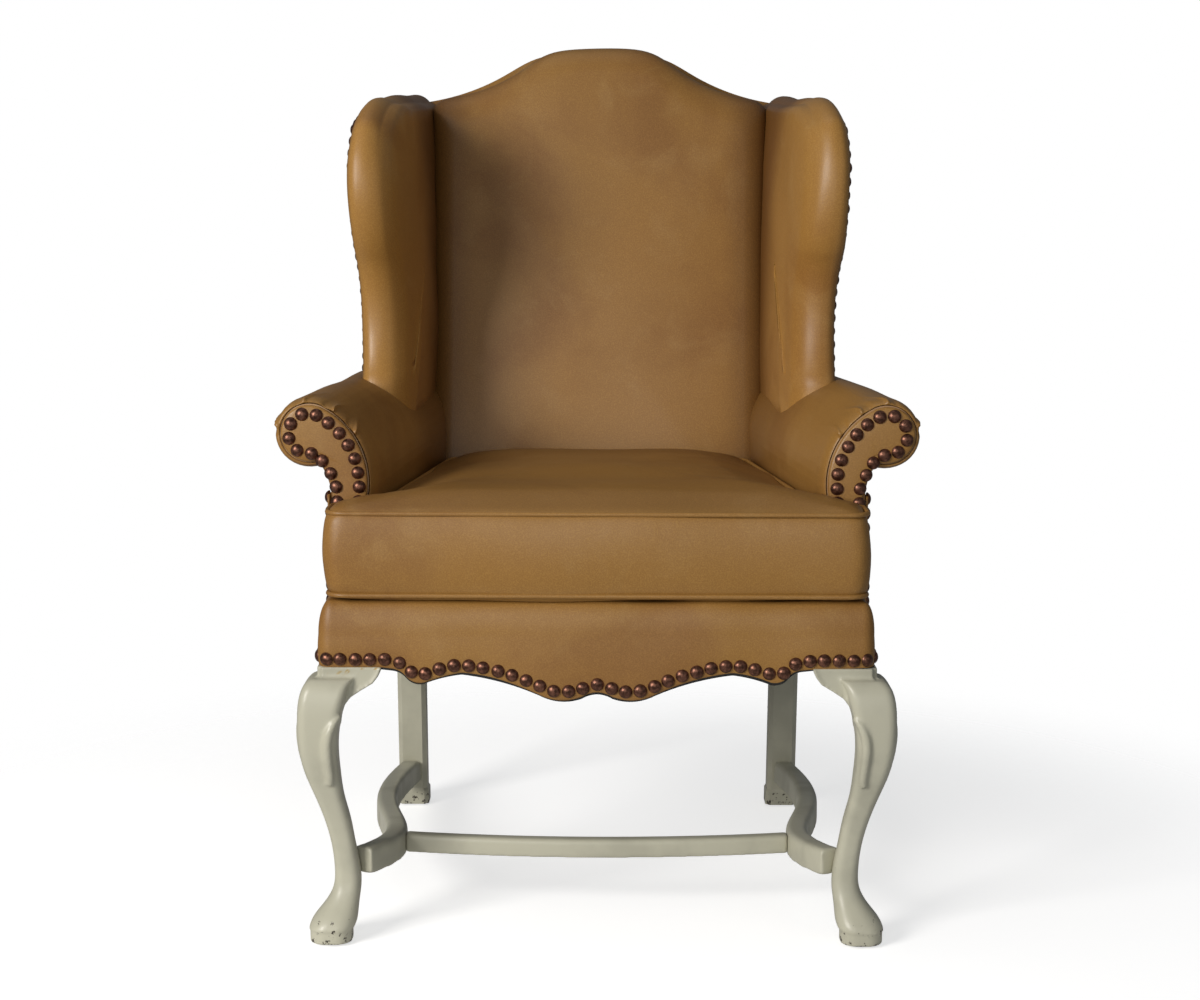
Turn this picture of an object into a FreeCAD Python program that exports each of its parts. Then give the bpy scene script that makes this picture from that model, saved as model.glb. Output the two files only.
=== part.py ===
"""Wingback armchair: wood frame, springs, padding, leather covers, nails and a loose seat cushion.

Millimetres. X is to the right, Y to the back, Z up; the chair faces -Y and stands on Z = 0.
"""

import FreeCAD
import Part
import math
import os

V = FreeCAD.Vector
X_AXIS, Y_AXIS, Z_AXIS = V(1, 0, 0), V(0, 1, 0), V(0, 0, 1)

# Materials' thicknesses and clearances
leather = 2.0
soft_gap = 0.3
panel_leather = 2.5
groove = 1.0
touching = 0.1
booleans_over = 1.0
smallest_kept_solid = 20.0
far = 500.0

# Seat frame
rail_top = 396.0
rail_bottom = 340.0
rail_thick = 24.0
rail_tenon = 16.0
tenon_shoulder = 6.0
tenon_edge = 10.0
rear_rail_inset = 8.0
frame_front = -358.0
frame_half_front = 316.0
frame_half_rear = 286.5
rear_rail_back = 246.0
corner_block_side = 62.0
corner_block_high = 34.0
corner_block_lift = 8.0
corner_block_edge = 14.0
screw_head = 9.0
screw_shank = 4.5
screw_length = 42.0
screw_head_high = 3.0
screw_apart = 12.0
screw_back = 6.0

# Front legs
post_side = 46.0
glide_high = 2.5
glide_radius = 11.0
foot_block_high = 18.0
foot_block_half = 25.0
leg_top = 334.0
post_overlap = 14.0
foot_block_round = 0.80
foot_neck_inset = 2.0
# height, centre of the section outward from the post's centre, half width, corner radius as a part of it
front_leg_sections = [
    (19.0, 21.5, 26.5, 0.80), (28.0, 18.0, 26.5, 0.85), (45.0, 10.5, 20.5, 0.85), (63.0, 4.5, 16.5, 0.80),
    (88.0, 4.0, 15.0, 0.75), (118.0, 8.0, 14.0, 0.70), (149.0, 14.0, 15.0, 0.65), (179.0, 22.0, 16.5, 0.60),
    (210.0, 29.0, 20.0, 0.55), (246.0, 33.0, 22.5, 0.50), (276.0, 31.5, 25.0, 0.45), (302.0, 27.0, 27.0, 0.40),
    (322.0, 15.0, 26.0, 0.35),
]
knee_block_reach = 52.0
knee_block_drop = 44.0
knee_block_thick = 22.0
knee_block_tip = 4.0
knee_block_in = 6.0
knee_block_setback = 2.0
knee_block_bend = (16.0, 15.0)

# Rear legs and back posts
back_post_wide = 40.0
back_post_deep = 40.0
back_post_chamfer = 6.0
rear_foot_front = 250.0
rear_foot_high = 26.0
rear_foot_spread = 2.0
rear_foot_bevel = 4.0
post_front_at_rail = 200.0
post_front_at_deck = 213.0
post_front_at_top = 329.8
post_top = 985.0

# Stretchers
stretcher_wide = 27.0
stretcher_high = 32.0
stretcher_front_z = 93.0
stretcher_rear_z = 52.0
stretcher_route = [(280.0, -334.0), (262.0, -295.0), (250.0, -240.0), (258.0, -150.0), (276.0, -50.0),
                   (283.0, 50.0), (279.0, 150.0), (266.0, 262.0)]
stretcher_round = 6.0
cross_y = -226.0
cross_bow = 26.0
cross_deep = 21.0
cross_high = 23.0
cross_z = 86.0
cross_round = 5.0

# Front border: lower edge of the scallop from the middle outward
border_pad = 8.0
border_half = 326.0
border_corner = 16.0
border_least_round = 2.0
border_brow = 0.8
deck_top = 412.0
border_edge = 334.0
scallop_arcs = [
    ((0.0, 305.0), (9.0, 303.5), (18.0, 299.5)),
    ((18.0, 299.5), (41.0, 296.0), (67.0, 303.0)),
    ((67.0, 303.0), (110.0, 318.5), (158.0, 328.0)),
    ((158.0, 328.0), (182.0, 323.5), (203.0, 316.5)),
    ((203.0, 316.5), (213.0, 317.0), (222.0, 322.5)),
    ((222.0, 322.5), (229.0, 329.0), (240.0, 332.5)),
]
scallop_end = 254.0
rail_behind_edge = 3.0

# Springs, deck and lining under the seat
spring_count = 5
spring_wire = 1.9
spring_pitch = 90.0
spring_wave = 30.0
spring_waves = 11
clip_wide = 16.0
clip_half_deep = 4.0
clip_thick = 1.2
deck_cover_thick = 1.6
dust_cover_thick = 1.0

# Arms, right side: section values at the facing and at the back
arm_front = -281.0
arm_rear = 262.0
arm_inner = (271.0, 207.0)
arm_tail = (320.0, 291.0)
lobe_x = (343.0, 287.0)
lobe_z = (600.0, 612.0)
lobe_radius = (38.0, 28.0)
roll_drop = 74.0
roll_angles = (115.0, 62.0, 5.0, -52.0, -108.0)
shoulder_bend = (0.30, 0.68)
hollow_bend = (0.42, 0.62)
arm_full = 5.0
stump_thick = 22.0
stump_inset = 8.0
facing_thick = 5.0
facing_inset = 3.0
arm_rail_high = 24.0
arm_rail_wide = 34.0
arm_rail_inward = 18.0
arm_rail_under = 16.0

# Wings: side profile as (y, z), flared and leaning out
wing_thick = 58.0
wing_flare = 4.8
wing_lean = 2.0
wing_lean_from = 700.0
wing_outer_at_back = 287.5
wing_front_arcs = [
    ((-22.0, 640.0), (1.0, 712.0), (-20.0, 796.0)),
    ((-20.0, 796.0), (-56.0, 905.0), (-33.0, 975.0)),
    ((-33.0, 975.0), (18.0, 999.0), (100.0, 1009.0)),
]
wing_top_rear = 1020.0
wing_foot = 590.0
wing_round = [(0.0, 9.0), (5.0, 3.5), (14.0, 0.0), (30.0, 0.0), (42.0, 3.0), (51.0, 10.0), (57.9, 24.0)]
wing_wood = 20.0
wing_wood_wide = 34.0
wing_wood_middle = 0.42
wing_joint_drop = 50.0
wing_wood_inset = 15.0
wing_panel_inset = 12.0

# Back: inside surface, outside surface and the crest
back_inside_low = 166.0
back_inside_top = 292.0
back_low_z = 440.0
back_top_z = 1087.0
back_foot_z = 412.0
outside_low = 253.0
outside_top = 386.0
back_half = 236.0
crest_arcs = [
    ((0.0, 1087.0), (34.0, 1086.5), (66.0, 1083.5)),
    ((66.0, 1083.5), (84.0, 1076.0), (101.0, 1062.5)),
    ((101.0, 1062.5), (158.0, 1029.0), (236.0, 1012.0)),
]
back_round = [(0.0, 30.0), (6.0, 14.0), (15.0, 5.0), (30.0, 0.0)]
outside_back_inset = 4.0
crest_rail_thick = 26.0
crest_rail_inset = 16.0
crest_rail_deep = 70.0
crest_rail_at = 960.0
crest_rail_setback = 2.0
stay_z = 470.0
stay_high = 44.0
stay_thick = 22.0
stay_setback = 8.0
webbing_wide = 50.0
webbing_thick = 1.5
webbing_columns = 4
webbing_rows = 5
webbing_setback = 1.0
webbing_hem = 6.0
webbing_lap = 20.0
webbing_turn = 8.0

# Loose T cushion
cushion_low = 412.0
cushion_seam_low = 420.0
cushion_seam_high = 516.0
cushion_crown = 530.0
cushion_front = -374.0
cushion_ear = 317.0
cushion_back_gap = 3.0
cushion_arm_gap = 1.5
cushion_corner = 22.0
cushion_bulge = 5.0
cushion_nick = 4.0
cushion_nick_rise = 1.2
cushion_under_inset = 14.0
cushion_boxing_turn = (14.0, 1.5)
# share of the crown's rise, and how far it is drawn in there
cushion_crown_steps = [(0.30, 7.0), (0.62, 15.0), (0.88, 22.0), (1.0, 28.0)]
welt_radius = 2.9
lift_height = 300.0

# Nails
nail_radius = 8.0
nail_dome = 5.0
nail_seat = 0.2
nail_pitch = 17.4
nail_inset = 10.5


def blend(pair, t):
    return pair[0] + (pair[1] - pair[0]) * t


def polyline(points):
    """Closed wire of straight lines."""
    return Part.makePolygon(list(points) + [points[0]])


def curved_wire(start, steps, place):
    """Closed wire: each step is an end point, or a point on the arc and its end point; place lifts to 3D."""
    edges, at = [], start
    for step in steps:
        if len(step) == 2 and isinstance(step[0], tuple):
            edges.append(Part.Arc(place(*at), place(*step[0]), place(*step[1])).toShape())
            at = step[1]
        else:
            edges.append(Part.LineSegment(place(*at), place(*step)).toShape())
            at = step
    if math.dist(at, start) > 0.001:
        edges.append(Part.LineSegment(place(*at), place(*start)).toShape())
    return Part.Wire(edges)


def mirrored(shape):
    return shape.mirror(V(0, 0, 0), X_AXIS)


def box(x0, x1, y0, y1, z0, z1):
    return Part.makeBox(x1 - x0, y1 - y0, z1 - z0, V(x0, y0, z0))


def prism(points, direction):
    return Part.Face(polyline(points)).extrude(direction)


def solids(shape):
    """The closed solids of a cut, without crumbs."""
    kept = [s for s in shape.Solids if s.Volume > smallest_kept_solid]
    return Part.makeCompound(kept)


def main_solid(shape):
    """The largest solid of a cut, without the offcuts on the far side of the tool."""
    return max(shape.Solids, key=lambda s: s.Volume)


def save(name, shape):
    shape.exportStep("parts/" + name + ".step")


def save_pair(name, right):
    save(name + "_right", right)
    save(name + "_left", mirrored(right))


def side_half(y):
    """Half width of the seat frame at depth y."""
    t = (y - frame_front) / (rear_rail_back - frame_front)
    return blend((frame_half_front, frame_half_rear), t)


def post_front(z):
    """Front face of the back post: raked back below the rail and above the deck."""
    if z < rail_bottom:
        return post_front_at_rail + (rear_foot_front - post_front_at_rail) * (rail_bottom - z) / rail_bottom
    if z < back_foot_z:
        return blend((post_front_at_rail, post_front_at_deck), (z - rail_bottom) / (back_foot_z - rail_bottom))
    return blend((post_front_at_deck, post_front_at_top), (z - back_foot_z) / (post_top - back_foot_z))


def post_back(z):
    return post_front(z) + back_post_deep


def inside_back(z):
    """Depth of the inside back's leather at height z."""
    return blend((back_inside_low, back_inside_top), (z - back_low_z) / (back_top_z - back_low_z))


# Wood frame


def rounded_square(cx, cy, z, half, part):
    r = half * part
    a, b, k = half - r, half, r * math.sqrt(0.5)
    place = lambda u, v: V(cx + u, cy + v, z)
    steps = [(a, -b), ((a + k, -a - k), (b, -a)), (b, a), ((a + k, a + k), (a, b))]
    steps += [(-a, b), ((-a - k, a + k), (-b, a)), (-b, -a), ((-a - k, -a - k), (-a, -b))]
    return curved_wire((-a, -b), steps, place)


def front_leg():
    """Cabriole leg: bent outward on the diagonal, a pad foot on a small block, and a square post above."""
    px, py = frame_half_front - post_side / 2, frame_front + post_side / 2
    wires = [rounded_square(px + out, py - out, z, half, part) for z, out, half, part in front_leg_sections]
    leg = Part.makeLoft(wires, True, False)
    out = front_leg_sections[0][1]
    low, high = glide_high, foot_block_high
    block_wires = [rounded_square(px + out, py - out, z, foot_block_half, foot_block_round)
                   for z in (low, high)]
    block = Part.makeLoft(block_wires, True, True)
    neck_half = foot_block_half - foot_neck_inset
    neck_wires = [rounded_square(px + out, py - out, z, neck_half, foot_block_round)
                  for z in (high, high + groove)]
    neck = Part.makeLoft(neck_wires, True, True)
    half = post_side / 2
    post = box(px - half, px + half, py - half, py + half, leg_top - post_overlap, rail_top)
    return leg.fuse([block, neck, post]).removeSplitter()


def knee_block(leg):
    """Brackets glued between the knee and the rails: one beside the leg, one behind it."""
    outline = [
        (knee_block_reach, 0.0), (knee_block_reach, knee_block_tip),
        (knee_block_bend, (knee_block_setback, knee_block_drop)), (-knee_block_in, knee_block_drop),
    ]
    x0, y0 = frame_half_front - post_side + knee_block_in, frame_front + knee_block_setback
    wire = curved_wire((-knee_block_in, 0.0), outline, lambda u, v: V(x0 - u, y0, leg_top - v))
    beside = Part.Face(wire).extrude(V(0, knee_block_thick, 0))
    x1 = frame_half_front - knee_block_setback - knee_block_thick
    y1 = frame_front + post_side - knee_block_in
    wire = curved_wire((-knee_block_in, 0.0), outline, lambda u, v: V(x1, y1 + u, leg_top - v))
    behind = Part.Face(wire).extrude(V(knee_block_thick, 0, 0))
    return solids(Part.makeCompound([solids(beside.cut(leg)), solids(behind.cut(leg))]))


def chamfered_square(x0, x1, y0, y1, z, c):
    points = [(x0 + c, y0), (x1 - c, y0), (x1, y0 + c), (x1, y1 - c)]
    points += [(x1 - c, y1), (x0 + c, y1), (x0, y1 - c), (x0, y0 + c)]
    return polyline([V(x, y, z) for x, y in points])


def back_post():
    """Rear leg and back post in one piece of wood."""
    x1 = frame_half_rear
    x0 = x1 - back_post_wide
    wires = []
    levels = [(glide_high, rear_foot_spread), (rear_foot_high - rear_foot_bevel, rear_foot_spread)]
    levels += [(z, 0.0) for z in (rear_foot_high, rail_bottom, back_foot_z, post_top)]
    for z, grow in levels:
        y0, y1 = post_front(z) - grow, post_back(z) + grow
        wires.append(chamfered_square(x0 - grow, x1 + grow, y0, y1, z, back_post_chamfer))
    return Part.makeLoft(wires, True, True)


def side_stretcher():
    """Serpentine in plan, lower at the rear."""
    curve = Part.BSplineCurve()
    curve.interpolate([V(x, y, 0) for x, y in stretcher_route])
    first, last = curve.FirstParameter, curve.LastParameter
    edges = []
    count = 2 * len(stretcher_route)
    rows = ([], [])
    for i in range(count + 1):
        t = first + (last - first) * i / count
        p, d = curve.value(t), curve.tangent(t)[0]
        n = V(d.y, -d.x, 0) * (stretcher_wide / 2)
        rows[0].append(p + n)
        rows[1].append(p - n)
    for row in rows:
        side = Part.BSplineCurve()
        side.interpolate(row)
        edges.append(side.toShape())
    edges.append(Part.LineSegment(rows[0][0], rows[1][0]).toShape())
    edges.append(Part.LineSegment(rows[0][-1], rows[1][-1]).toShape())
    face = Part.Face(Part.Wire(Part.__sortEdges__(edges)))
    bar = face.extrude(V(0, 0, stretcher_high))
    top = [e for e in bar.Edges if e.BoundBox.ZMin > stretcher_high / 2 and e.Length > 2 * stretcher_wide]
    bar = bar.makeFillet(stretcher_round, top)
    y0, y1 = stretcher_route[0][1], stretcher_route[-1][1]
    slope = math.degrees(math.atan2(stretcher_rear_z - stretcher_front_z, y1 - y0))
    bar.rotate(V(0, y0, 0), X_AXIS, slope)
    bar.translate(V(0, 0, stretcher_front_z - stretcher_high / 2))
    return bar


def cross_stretcher(sides):
    """Bowed bar between the side stretchers."""
    half = stretcher_route[2][0]
    place = lambda x, y: V(x, cross_y + y, cross_z - cross_high / 2)
    d = cross_deep / 2
    wire = curved_wire(
        (-half, -d),
        [((0.0, -cross_bow - d), (half, -d)), (half, d), ((0.0, -cross_bow + d), (-half, d))],
        place,
    )
    bar = Part.Face(wire).extrude(V(0, 0, cross_high))
    long_edges = [e for e in bar.Edges if e.Length > half and e.BoundBox.ZMin > cross_z]
    bar = bar.makeFillet(cross_round, long_edges)
    return main_solid(bar.cut(sides))


def scallop_wire(lift, end, y):
    """The scalloped lower edge from -end to end, raised by lift, with the rail's top as its other side."""
    place = lambda x, z: V(x, y, z)
    left = []
    for a, m, b in reversed(scallop_arcs):
        left.append(((-m[0], m[1] + lift), (-a[0], a[1] + lift)))
    right = [((m[0], m[1] + lift), (b[0], b[1] + lift)) for a, m, b in scallop_arcs]
    edge = (end, border_edge + lift)
    start = scallop_arcs[-1][2]
    steps = [(-scallop_end, edge[1]), (-start[0], start[1] + lift)] + left + right
    steps += [(scallop_end, edge[1]), edge]
    return edge, steps, place


def scallop_face(lift, end, y, top):
    edge, steps, place = scallop_wire(lift, end, y)
    return Part.Face(curved_wire((-end, edge[1]), steps + [(end, top), (-end, top)], place))


def front_seat_rail():
    half = frame_half_front - post_side
    board = scallop_face(rail_behind_edge, half, frame_front, rail_top).extrude(V(0, rail_thick, 0))
    z0, z1 = border_edge + 2 * tenon_shoulder, rail_top - tenon_shoulder
    y0, y1 = frame_front + tenon_shoulder, frame_front + rail_thick - tenon_shoulder
    tenon = box(-half - rail_tenon, half + rail_tenon, y0, y1, z0, z1)
    return board.fuse(tenon).removeSplitter()


def side_seat_rail():
    """Straight rail from the front post to the back post, tenoned into both."""
    y0, y1 = frame_front + post_side, post_front_at_rail
    points = [(side_half(y), y) for y in (y0, y1)]
    points += [(side_half(y) - rail_thick, y) for y in (y1, y0)]
    board = prism([V(x, y, rail_bottom) for x, y in points], V(0, 0, rail_top - rail_bottom))
    s = tenon_shoulder
    ya, yb = y0 - rail_tenon, y1 + rail_tenon
    points = [(side_half(y) - s, y) for y in (ya, yb)]
    points += [(side_half(y) - rail_thick + s, y) for y in (yb, ya)]
    high = rail_top - rail_bottom - 2 * tenon_edge
    tenon = prism([V(x, y, rail_bottom + tenon_edge) for x, y in points], V(0, 0, high))
    return board.fuse(tenon).removeSplitter()


def back_seat_rail():
    half = frame_half_rear - back_post_wide
    y1 = rear_rail_back - rear_rail_inset
    board = box(-half, half, y1 - rail_thick, y1, rail_bottom, rail_top)
    s = tenon_shoulder
    reach = half + rail_tenon
    z0, z1 = rail_bottom + tenon_edge, rail_top - tenon_edge
    tenon = box(-reach, reach, y1 - rail_thick + s, y1 - s, z0, z1)
    return board.fuse(tenon).removeSplitter()


def corner_blocks():
    """Glued blocks in the frame's corners, each with two screws driven into the rails."""
    blocks, screws = [], []
    z0 = rail_bottom + corner_block_lift
    z_mid = z0 + corner_block_high / 2
    a = corner_block_side
    front_y = frame_front + rail_thick
    rear_y = rear_rail_back - rear_rail_inset - rail_thick
    for rail_y, facing in ((front_y, 1), (rear_y, -1)):
        far_y = rail_y + facing * a
        x_near, x_far = side_half(rail_y) - rail_thick, side_half(far_y) - rail_thick
        edge = corner_block_edge
        points = [(x_near, rail_y), (x_far, far_y), (x_far - edge, far_y)]
        points += [(x_near - a, rail_y + facing * edge), (x_near - a, rail_y)]
        block = prism([V(x, y, z0) for x, y in points], V(0, 0, corner_block_high))
        blocks += [block, mirrored(block)]
        mid = V(x_near - a / 2, rail_y + facing * a / 2, z_mid)
        for toward in (V(0, -facing, 0), V(1, 0, 0)):
            along = V(1, 0, 0) if toward.x == 0 else V(0, facing, 0)
            seat = mid - along * screw_apart - toward * screw_back
            shank = Part.makeCylinder(screw_shank / 2, screw_length, seat, toward)
            head = Part.makeCylinder(screw_head / 2, screw_head_high, seat - toward * screw_head_high, toward)
            screw = shank.fuse(head).removeSplitter()
            screws += [screw, mirrored(screw)]
    return blocks, screws


def foot_glides():
    px, py = frame_half_front - post_side / 2, frame_front + post_side / 2
    out = front_leg_sections[0][1]
    xr = frame_half_rear - back_post_wide / 2
    yr = rear_foot_front + back_post_deep / 2
    made = []
    for x, y in ((px + out, py - out), (xr, yr)):
        glide = Part.makeCylinder(glide_radius, glide_high, V(x, y, 0))
        made += [glide, mirrored(glide)]
    return made


# Arms


def arm_section(y, shrink):
    """Section of the right arm at depth y: inner face, shoulder, lobe and tail, drawn in by shrink."""
    t = (y - arm_front) / (arm_rear - arm_front)
    inner, tail = blend(arm_inner, t) - arm_full + shrink, blend(arm_tail, t) - shrink / 2
    x, z, r = blend(lobe_x, t), blend(lobe_z, t), blend(lobe_radius, t) + arm_full - shrink
    place = lambda u, v: V(u, y, v)
    polar = lambda a: (x + r * math.cos(math.radians(a)), z + r * math.sin(math.radians(a)))
    shoulder, crown, brow, under, neck = [polar(a) for a in roll_angles]
    low, tail_low = (inner, z - roll_drop), (tail, z - roll_drop)
    bend = [blend(pair, k) for pair, k in zip(zip(low, shoulder), shoulder_bend)]
    hollow = [blend(pair, k) for pair, k in zip(zip(tail_low, neck), hollow_bend)]
    steps = [low, (tuple(bend), shoulder), (crown, brow), (under, neck), (tuple(hollow), tail_low), (tail, rail_top)]
    return curved_wire((inner, rail_top), steps, place)


def arm_solid(y0, y1, shrink):
    return Part.makeLoft([arm_section(y0, shrink), arm_section(y1, shrink)], True, True)


def facing_solid(y0, y1, shrink):
    """Straight board with the arm's outline at the facing."""
    wire = arm_section(arm_front, shrink)
    face = Part.Face(wire)
    face.translate(V(0, y0 - arm_front, 0))
    return face.extrude(V(0, y1 - y0, 0))


def arm_rail():
    """Rail inside the roll, from the stump to the back post."""
    y0, y1 = arm_front + stump_thick, post_front(lobe_z[1])
    points = []
    for y in (y0, y1):
        t = (y - arm_front) / (arm_rear - arm_front)
        points.append((blend(lobe_x, t) - arm_rail_inward, y))
    (xa, ya), (xb, yb) = points
    w = arm_rail_wide / 2
    z = lobe_z[0] - arm_rail_under
    corners = [V(xa - w, ya, z), V(xa + w, ya, z), V(xb + w, yb, z), V(xb - w, yb, z)]
    return prism(corners, V(0, 0, arm_rail_high))


# Wings


def wing_wire(x, shrink):
    """Side profile of the wing, drawn in by shrink at its front and top."""
    place = lambda y, z: V(x, y, z)
    k = shrink
    drawn = []
    for (y0, z0), (ym, zm), (y1, z1) in wing_front_arcs[:2]:
        drawn.append(((ym + k, zm), (y1 + k * 0.9, z1 - k * 0.35 if z1 > 900 else z1)))
    (y0, z0), (ym, zm), (y1, z1) = wing_front_arcs[2]
    drawn.append(((ym + k * 0.3, zm - k), (y1, z1 - k)))
    rear_top, rear_low = post_back(wing_top_rear), post_back(wing_foot)
    first = wing_front_arcs[0][0]
    start = (first[0] + k, wing_foot)
    steps = [(first[0] + k, first[1])] + drawn + [(rear_top, wing_top_rear - k), (rear_low, wing_foot)]
    return curved_wire(start, steps, place)


def place_wing(shape):
    """From the wing's own frame (outer face at x = 0) to its flared, leaning place."""
    pivot = V(0, post_front(wing_lean_from), wing_lean_from)
    shape.rotate(pivot, Z_AXIS, wing_flare)
    shape.rotate(pivot, Y_AXIS, wing_lean)
    shape.translate(V(wing_outer_at_back, 0, 0))
    return shape


def wing_solid(skin):
    """The wing's padded form, drawn in by skin; its front and top edges are rounded."""
    last = wing_round[-1][0]
    wires = []
    for depth, shrink in wing_round:
        inner = skin + depth * (wing_thick - 2 * skin) / last
        wires.append(wing_wire(-inner, shrink + skin))
    return place_wing(Part.makeLoft(wires, True, True))


def wing_board(x0, x1, shrink):
    return place_wing(Part.Face(wing_wire(x1, shrink)).extrude(V(x0 - x1, 0, 0)))


def wing_woods(arms):
    """Shaped upright at the wing's front, and the top rail from it to the back post."""
    middle = -wing_thick * wing_wood_middle
    x0, x1 = middle - wing_wood / 2, middle + wing_wood / 2
    whole = wing_board(x0, x1, wing_wood_inset)
    inner = wing_board(x0 - booleans_over, x1 + booleans_over, wing_wood_inset + wing_wood_wide)
    ring = whole.cut(inner)
    cut_z = wing_front_arcs[1][2][1] - wing_joint_drop
    below = box(0, far, -far, post_front(cut_z) - wing_wood_wide, 0, cut_z)
    above = box(0, far, -far, far, cut_z, back_top_z)
    upright = solids(ring.common(below).cut(arms))
    top = solids(ring.common(above))
    return upright, top


# Back


def back_plane(y_shift, u, v):
    """Point at half width u and height v on the inside back's surface, moved back by y_shift."""
    return V(u, inside_back(v) + y_shift, v)


def crest_sides(scale, drop):
    """Steps over the left and the right half of the crest, widened by scale and lowered by drop."""
    right = [((m[0] * scale, m[1] - drop), (b[0] * scale, b[1] - drop)) for a, m, b in crest_arcs]
    left = [((-m[0] * scale, m[1] - drop), (-a[0] * scale, a[1] - drop)) for a, m, b in reversed(crest_arcs)]
    return left, right


def crest_wire(y_shift, shrink, low_z, half):
    """Outline of the back in its raked plane, the top drawn in by shrink."""
    place = lambda u, v: back_plane(y_shift, u, v)
    scale = (half - shrink) / crest_arcs[-1][2][0]
    left, right = crest_sides(scale, shrink)
    end = crest_arcs[-1][2]
    steps = [(-end[0] * scale, end[1] - shrink)] + left + right + [(half - shrink, low_z)]
    return curved_wire((-half + shrink, low_z), steps, place)


def back_solid(skin):
    """Padded back between the wings, its top front edge rolled."""
    wires = []
    for depth, shrink in back_round:
        wires.append(crest_wire(depth + skin, shrink + skin, back_foot_z, back_half))
    thick = outside_top - back_inside_top
    wires.append(crest_wire(thick, skin, back_foot_z, back_half))
    return Part.makeLoft(wires, True, True)


def crest_rail():
    """Shaped rail between the back posts under the crest."""
    y = post_front(crest_rail_at) - inside_back(crest_rail_at) + crest_rail_setback
    half = frame_half_rear - back_post_wide
    foot = crest_arcs[-1][2][1] - crest_rail_deep
    face = Part.Face(crest_wire(y, crest_rail_inset, foot, half + crest_rail_inset))
    return face.extrude(V(0, crest_rail_thick, 0))


def stay_rail():
    """Lower rail of the back, between the posts, above the seat."""
    half = frame_half_rear - back_post_wide
    y = post_front(stay_z) + stay_setback
    return box(-half, half, y, y + stay_thick, stay_z, stay_z + stay_high)


def back_webbing():
    """Woven straps up and across the back, on the front of the rails."""
    half = frame_half_rear - back_post_wide
    strips = []
    low, high = stay_z + webbing_hem, crest_arcs[-1][2][1] - crest_rail_deep + webbing_lap
    step = 2 * half / webbing_columns
    for i in range(webbing_columns):
        x = -half + step * (i + 0.5) - webbing_wide / 2
        strips.append(strap(x, webbing_wide, low, high, 0.0))
    rise = (high - low) / (webbing_rows + 1)
    for i in range(webbing_rows):
        z = low + rise * (i + 1) - webbing_wide / 2
        strips.append(strap(-half - webbing_turn, 2 * (half + webbing_turn), z, z + webbing_wide, webbing_thick))
    return strips


def strap(x, wide, z0, z1, forward):
    """A flat strap leaning with the back posts, its rear face this far forward of the webbing's line."""
    points = []
    for z in (z0, z1):
        points.append(V(x, post_front(z) + webbing_setback - forward, z))
    points += [p - V(0, webbing_thick, 0) for p in reversed(points)]
    return prism(points, V(wide, 0, 0))


# Seat


def border_solid(grow, y_back):
    """Padded front border with rounded upright corners and a rounded top edge."""
    y0 = frame_front - grow
    x1 = border_half - border_pad - leather + grow
    top = deck_top - border_pad - leather + grow
    face = scallop_face(0.0, x1, y0, top)
    solid = face.extrude(V(0, y_back - y0, 0))
    r = border_corner - (border_pad + leather - grow)
    corners = []
    for e in solid.Edges:
        upright = e.BoundBox.XLength < touching and e.BoundBox.YLength < touching
        if upright and abs(e.BoundBox.YMax - y0) < touching:
            corners.append(e)
    solid = solid.makeFillet(max(r, border_least_round), corners)
    brow = [e for e in solid.Edges if e.BoundBox.ZMin > top - touching and e.BoundBox.YMin < y_back - touching]
    return solid.makeFillet(r * border_brow, brow)


def deck_outline(z, y_back):
    """Plan of the seat between the arms, behind the front border."""
    t_back = (y_back - arm_front) / (arm_rear - arm_front)
    xa, xb = arm_inner[0] - arm_full, blend(arm_inner, t_back) - arm_full
    points = [(-xa, arm_front), (xa, arm_front), (xb, y_back), (-xb, y_back)]
    return polyline([V(x, y, z) for x, y in points])


def springs():
    """Sinuous springs from the front rail to the back rail, with their clips."""
    y0, y1 = frame_front + rail_thick / 2, rear_rail_back - rear_rail_inset - rail_thick / 2
    spring_z = rail_top + spring_wire
    made, clips = [], []
    for n in range(spring_count):
        x = (n - (spring_count - 1) / 2) * spring_pitch
        step = (y1 - y0) / spring_waves
        edges, at = [], V(x, y0, spring_z)
        side = 1
        for i in range(spring_waves):
            end = V(x, y0 + step * (i + 1), spring_z)
            mid = V(x + side * spring_wave / 2, y0 + step * (i + 0.5), spring_z)
            edges.append(Part.Arc(at, mid, end).toShape())
            at, side = end, -side
        path = Part.Wire(edges)
        along = edges[0].tangentAt(edges[0].FirstParameter)
        start = Part.Wire(Part.makeCircle(spring_wire, V(x, y0, spring_z), along))
        spring = path.makePipeShell([start], True, False)
        made.append(spring)
        for y in (y0, y1):
            w, d = clip_wide / 2, clip_half_deep
            clip = box(x - w, x + w, y - d, y + d, rail_top, spring_z + spring_wire + clip_thick)
            clips += clip.cut(spring).Solids
    return made, clips


# Loose cushion


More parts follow.
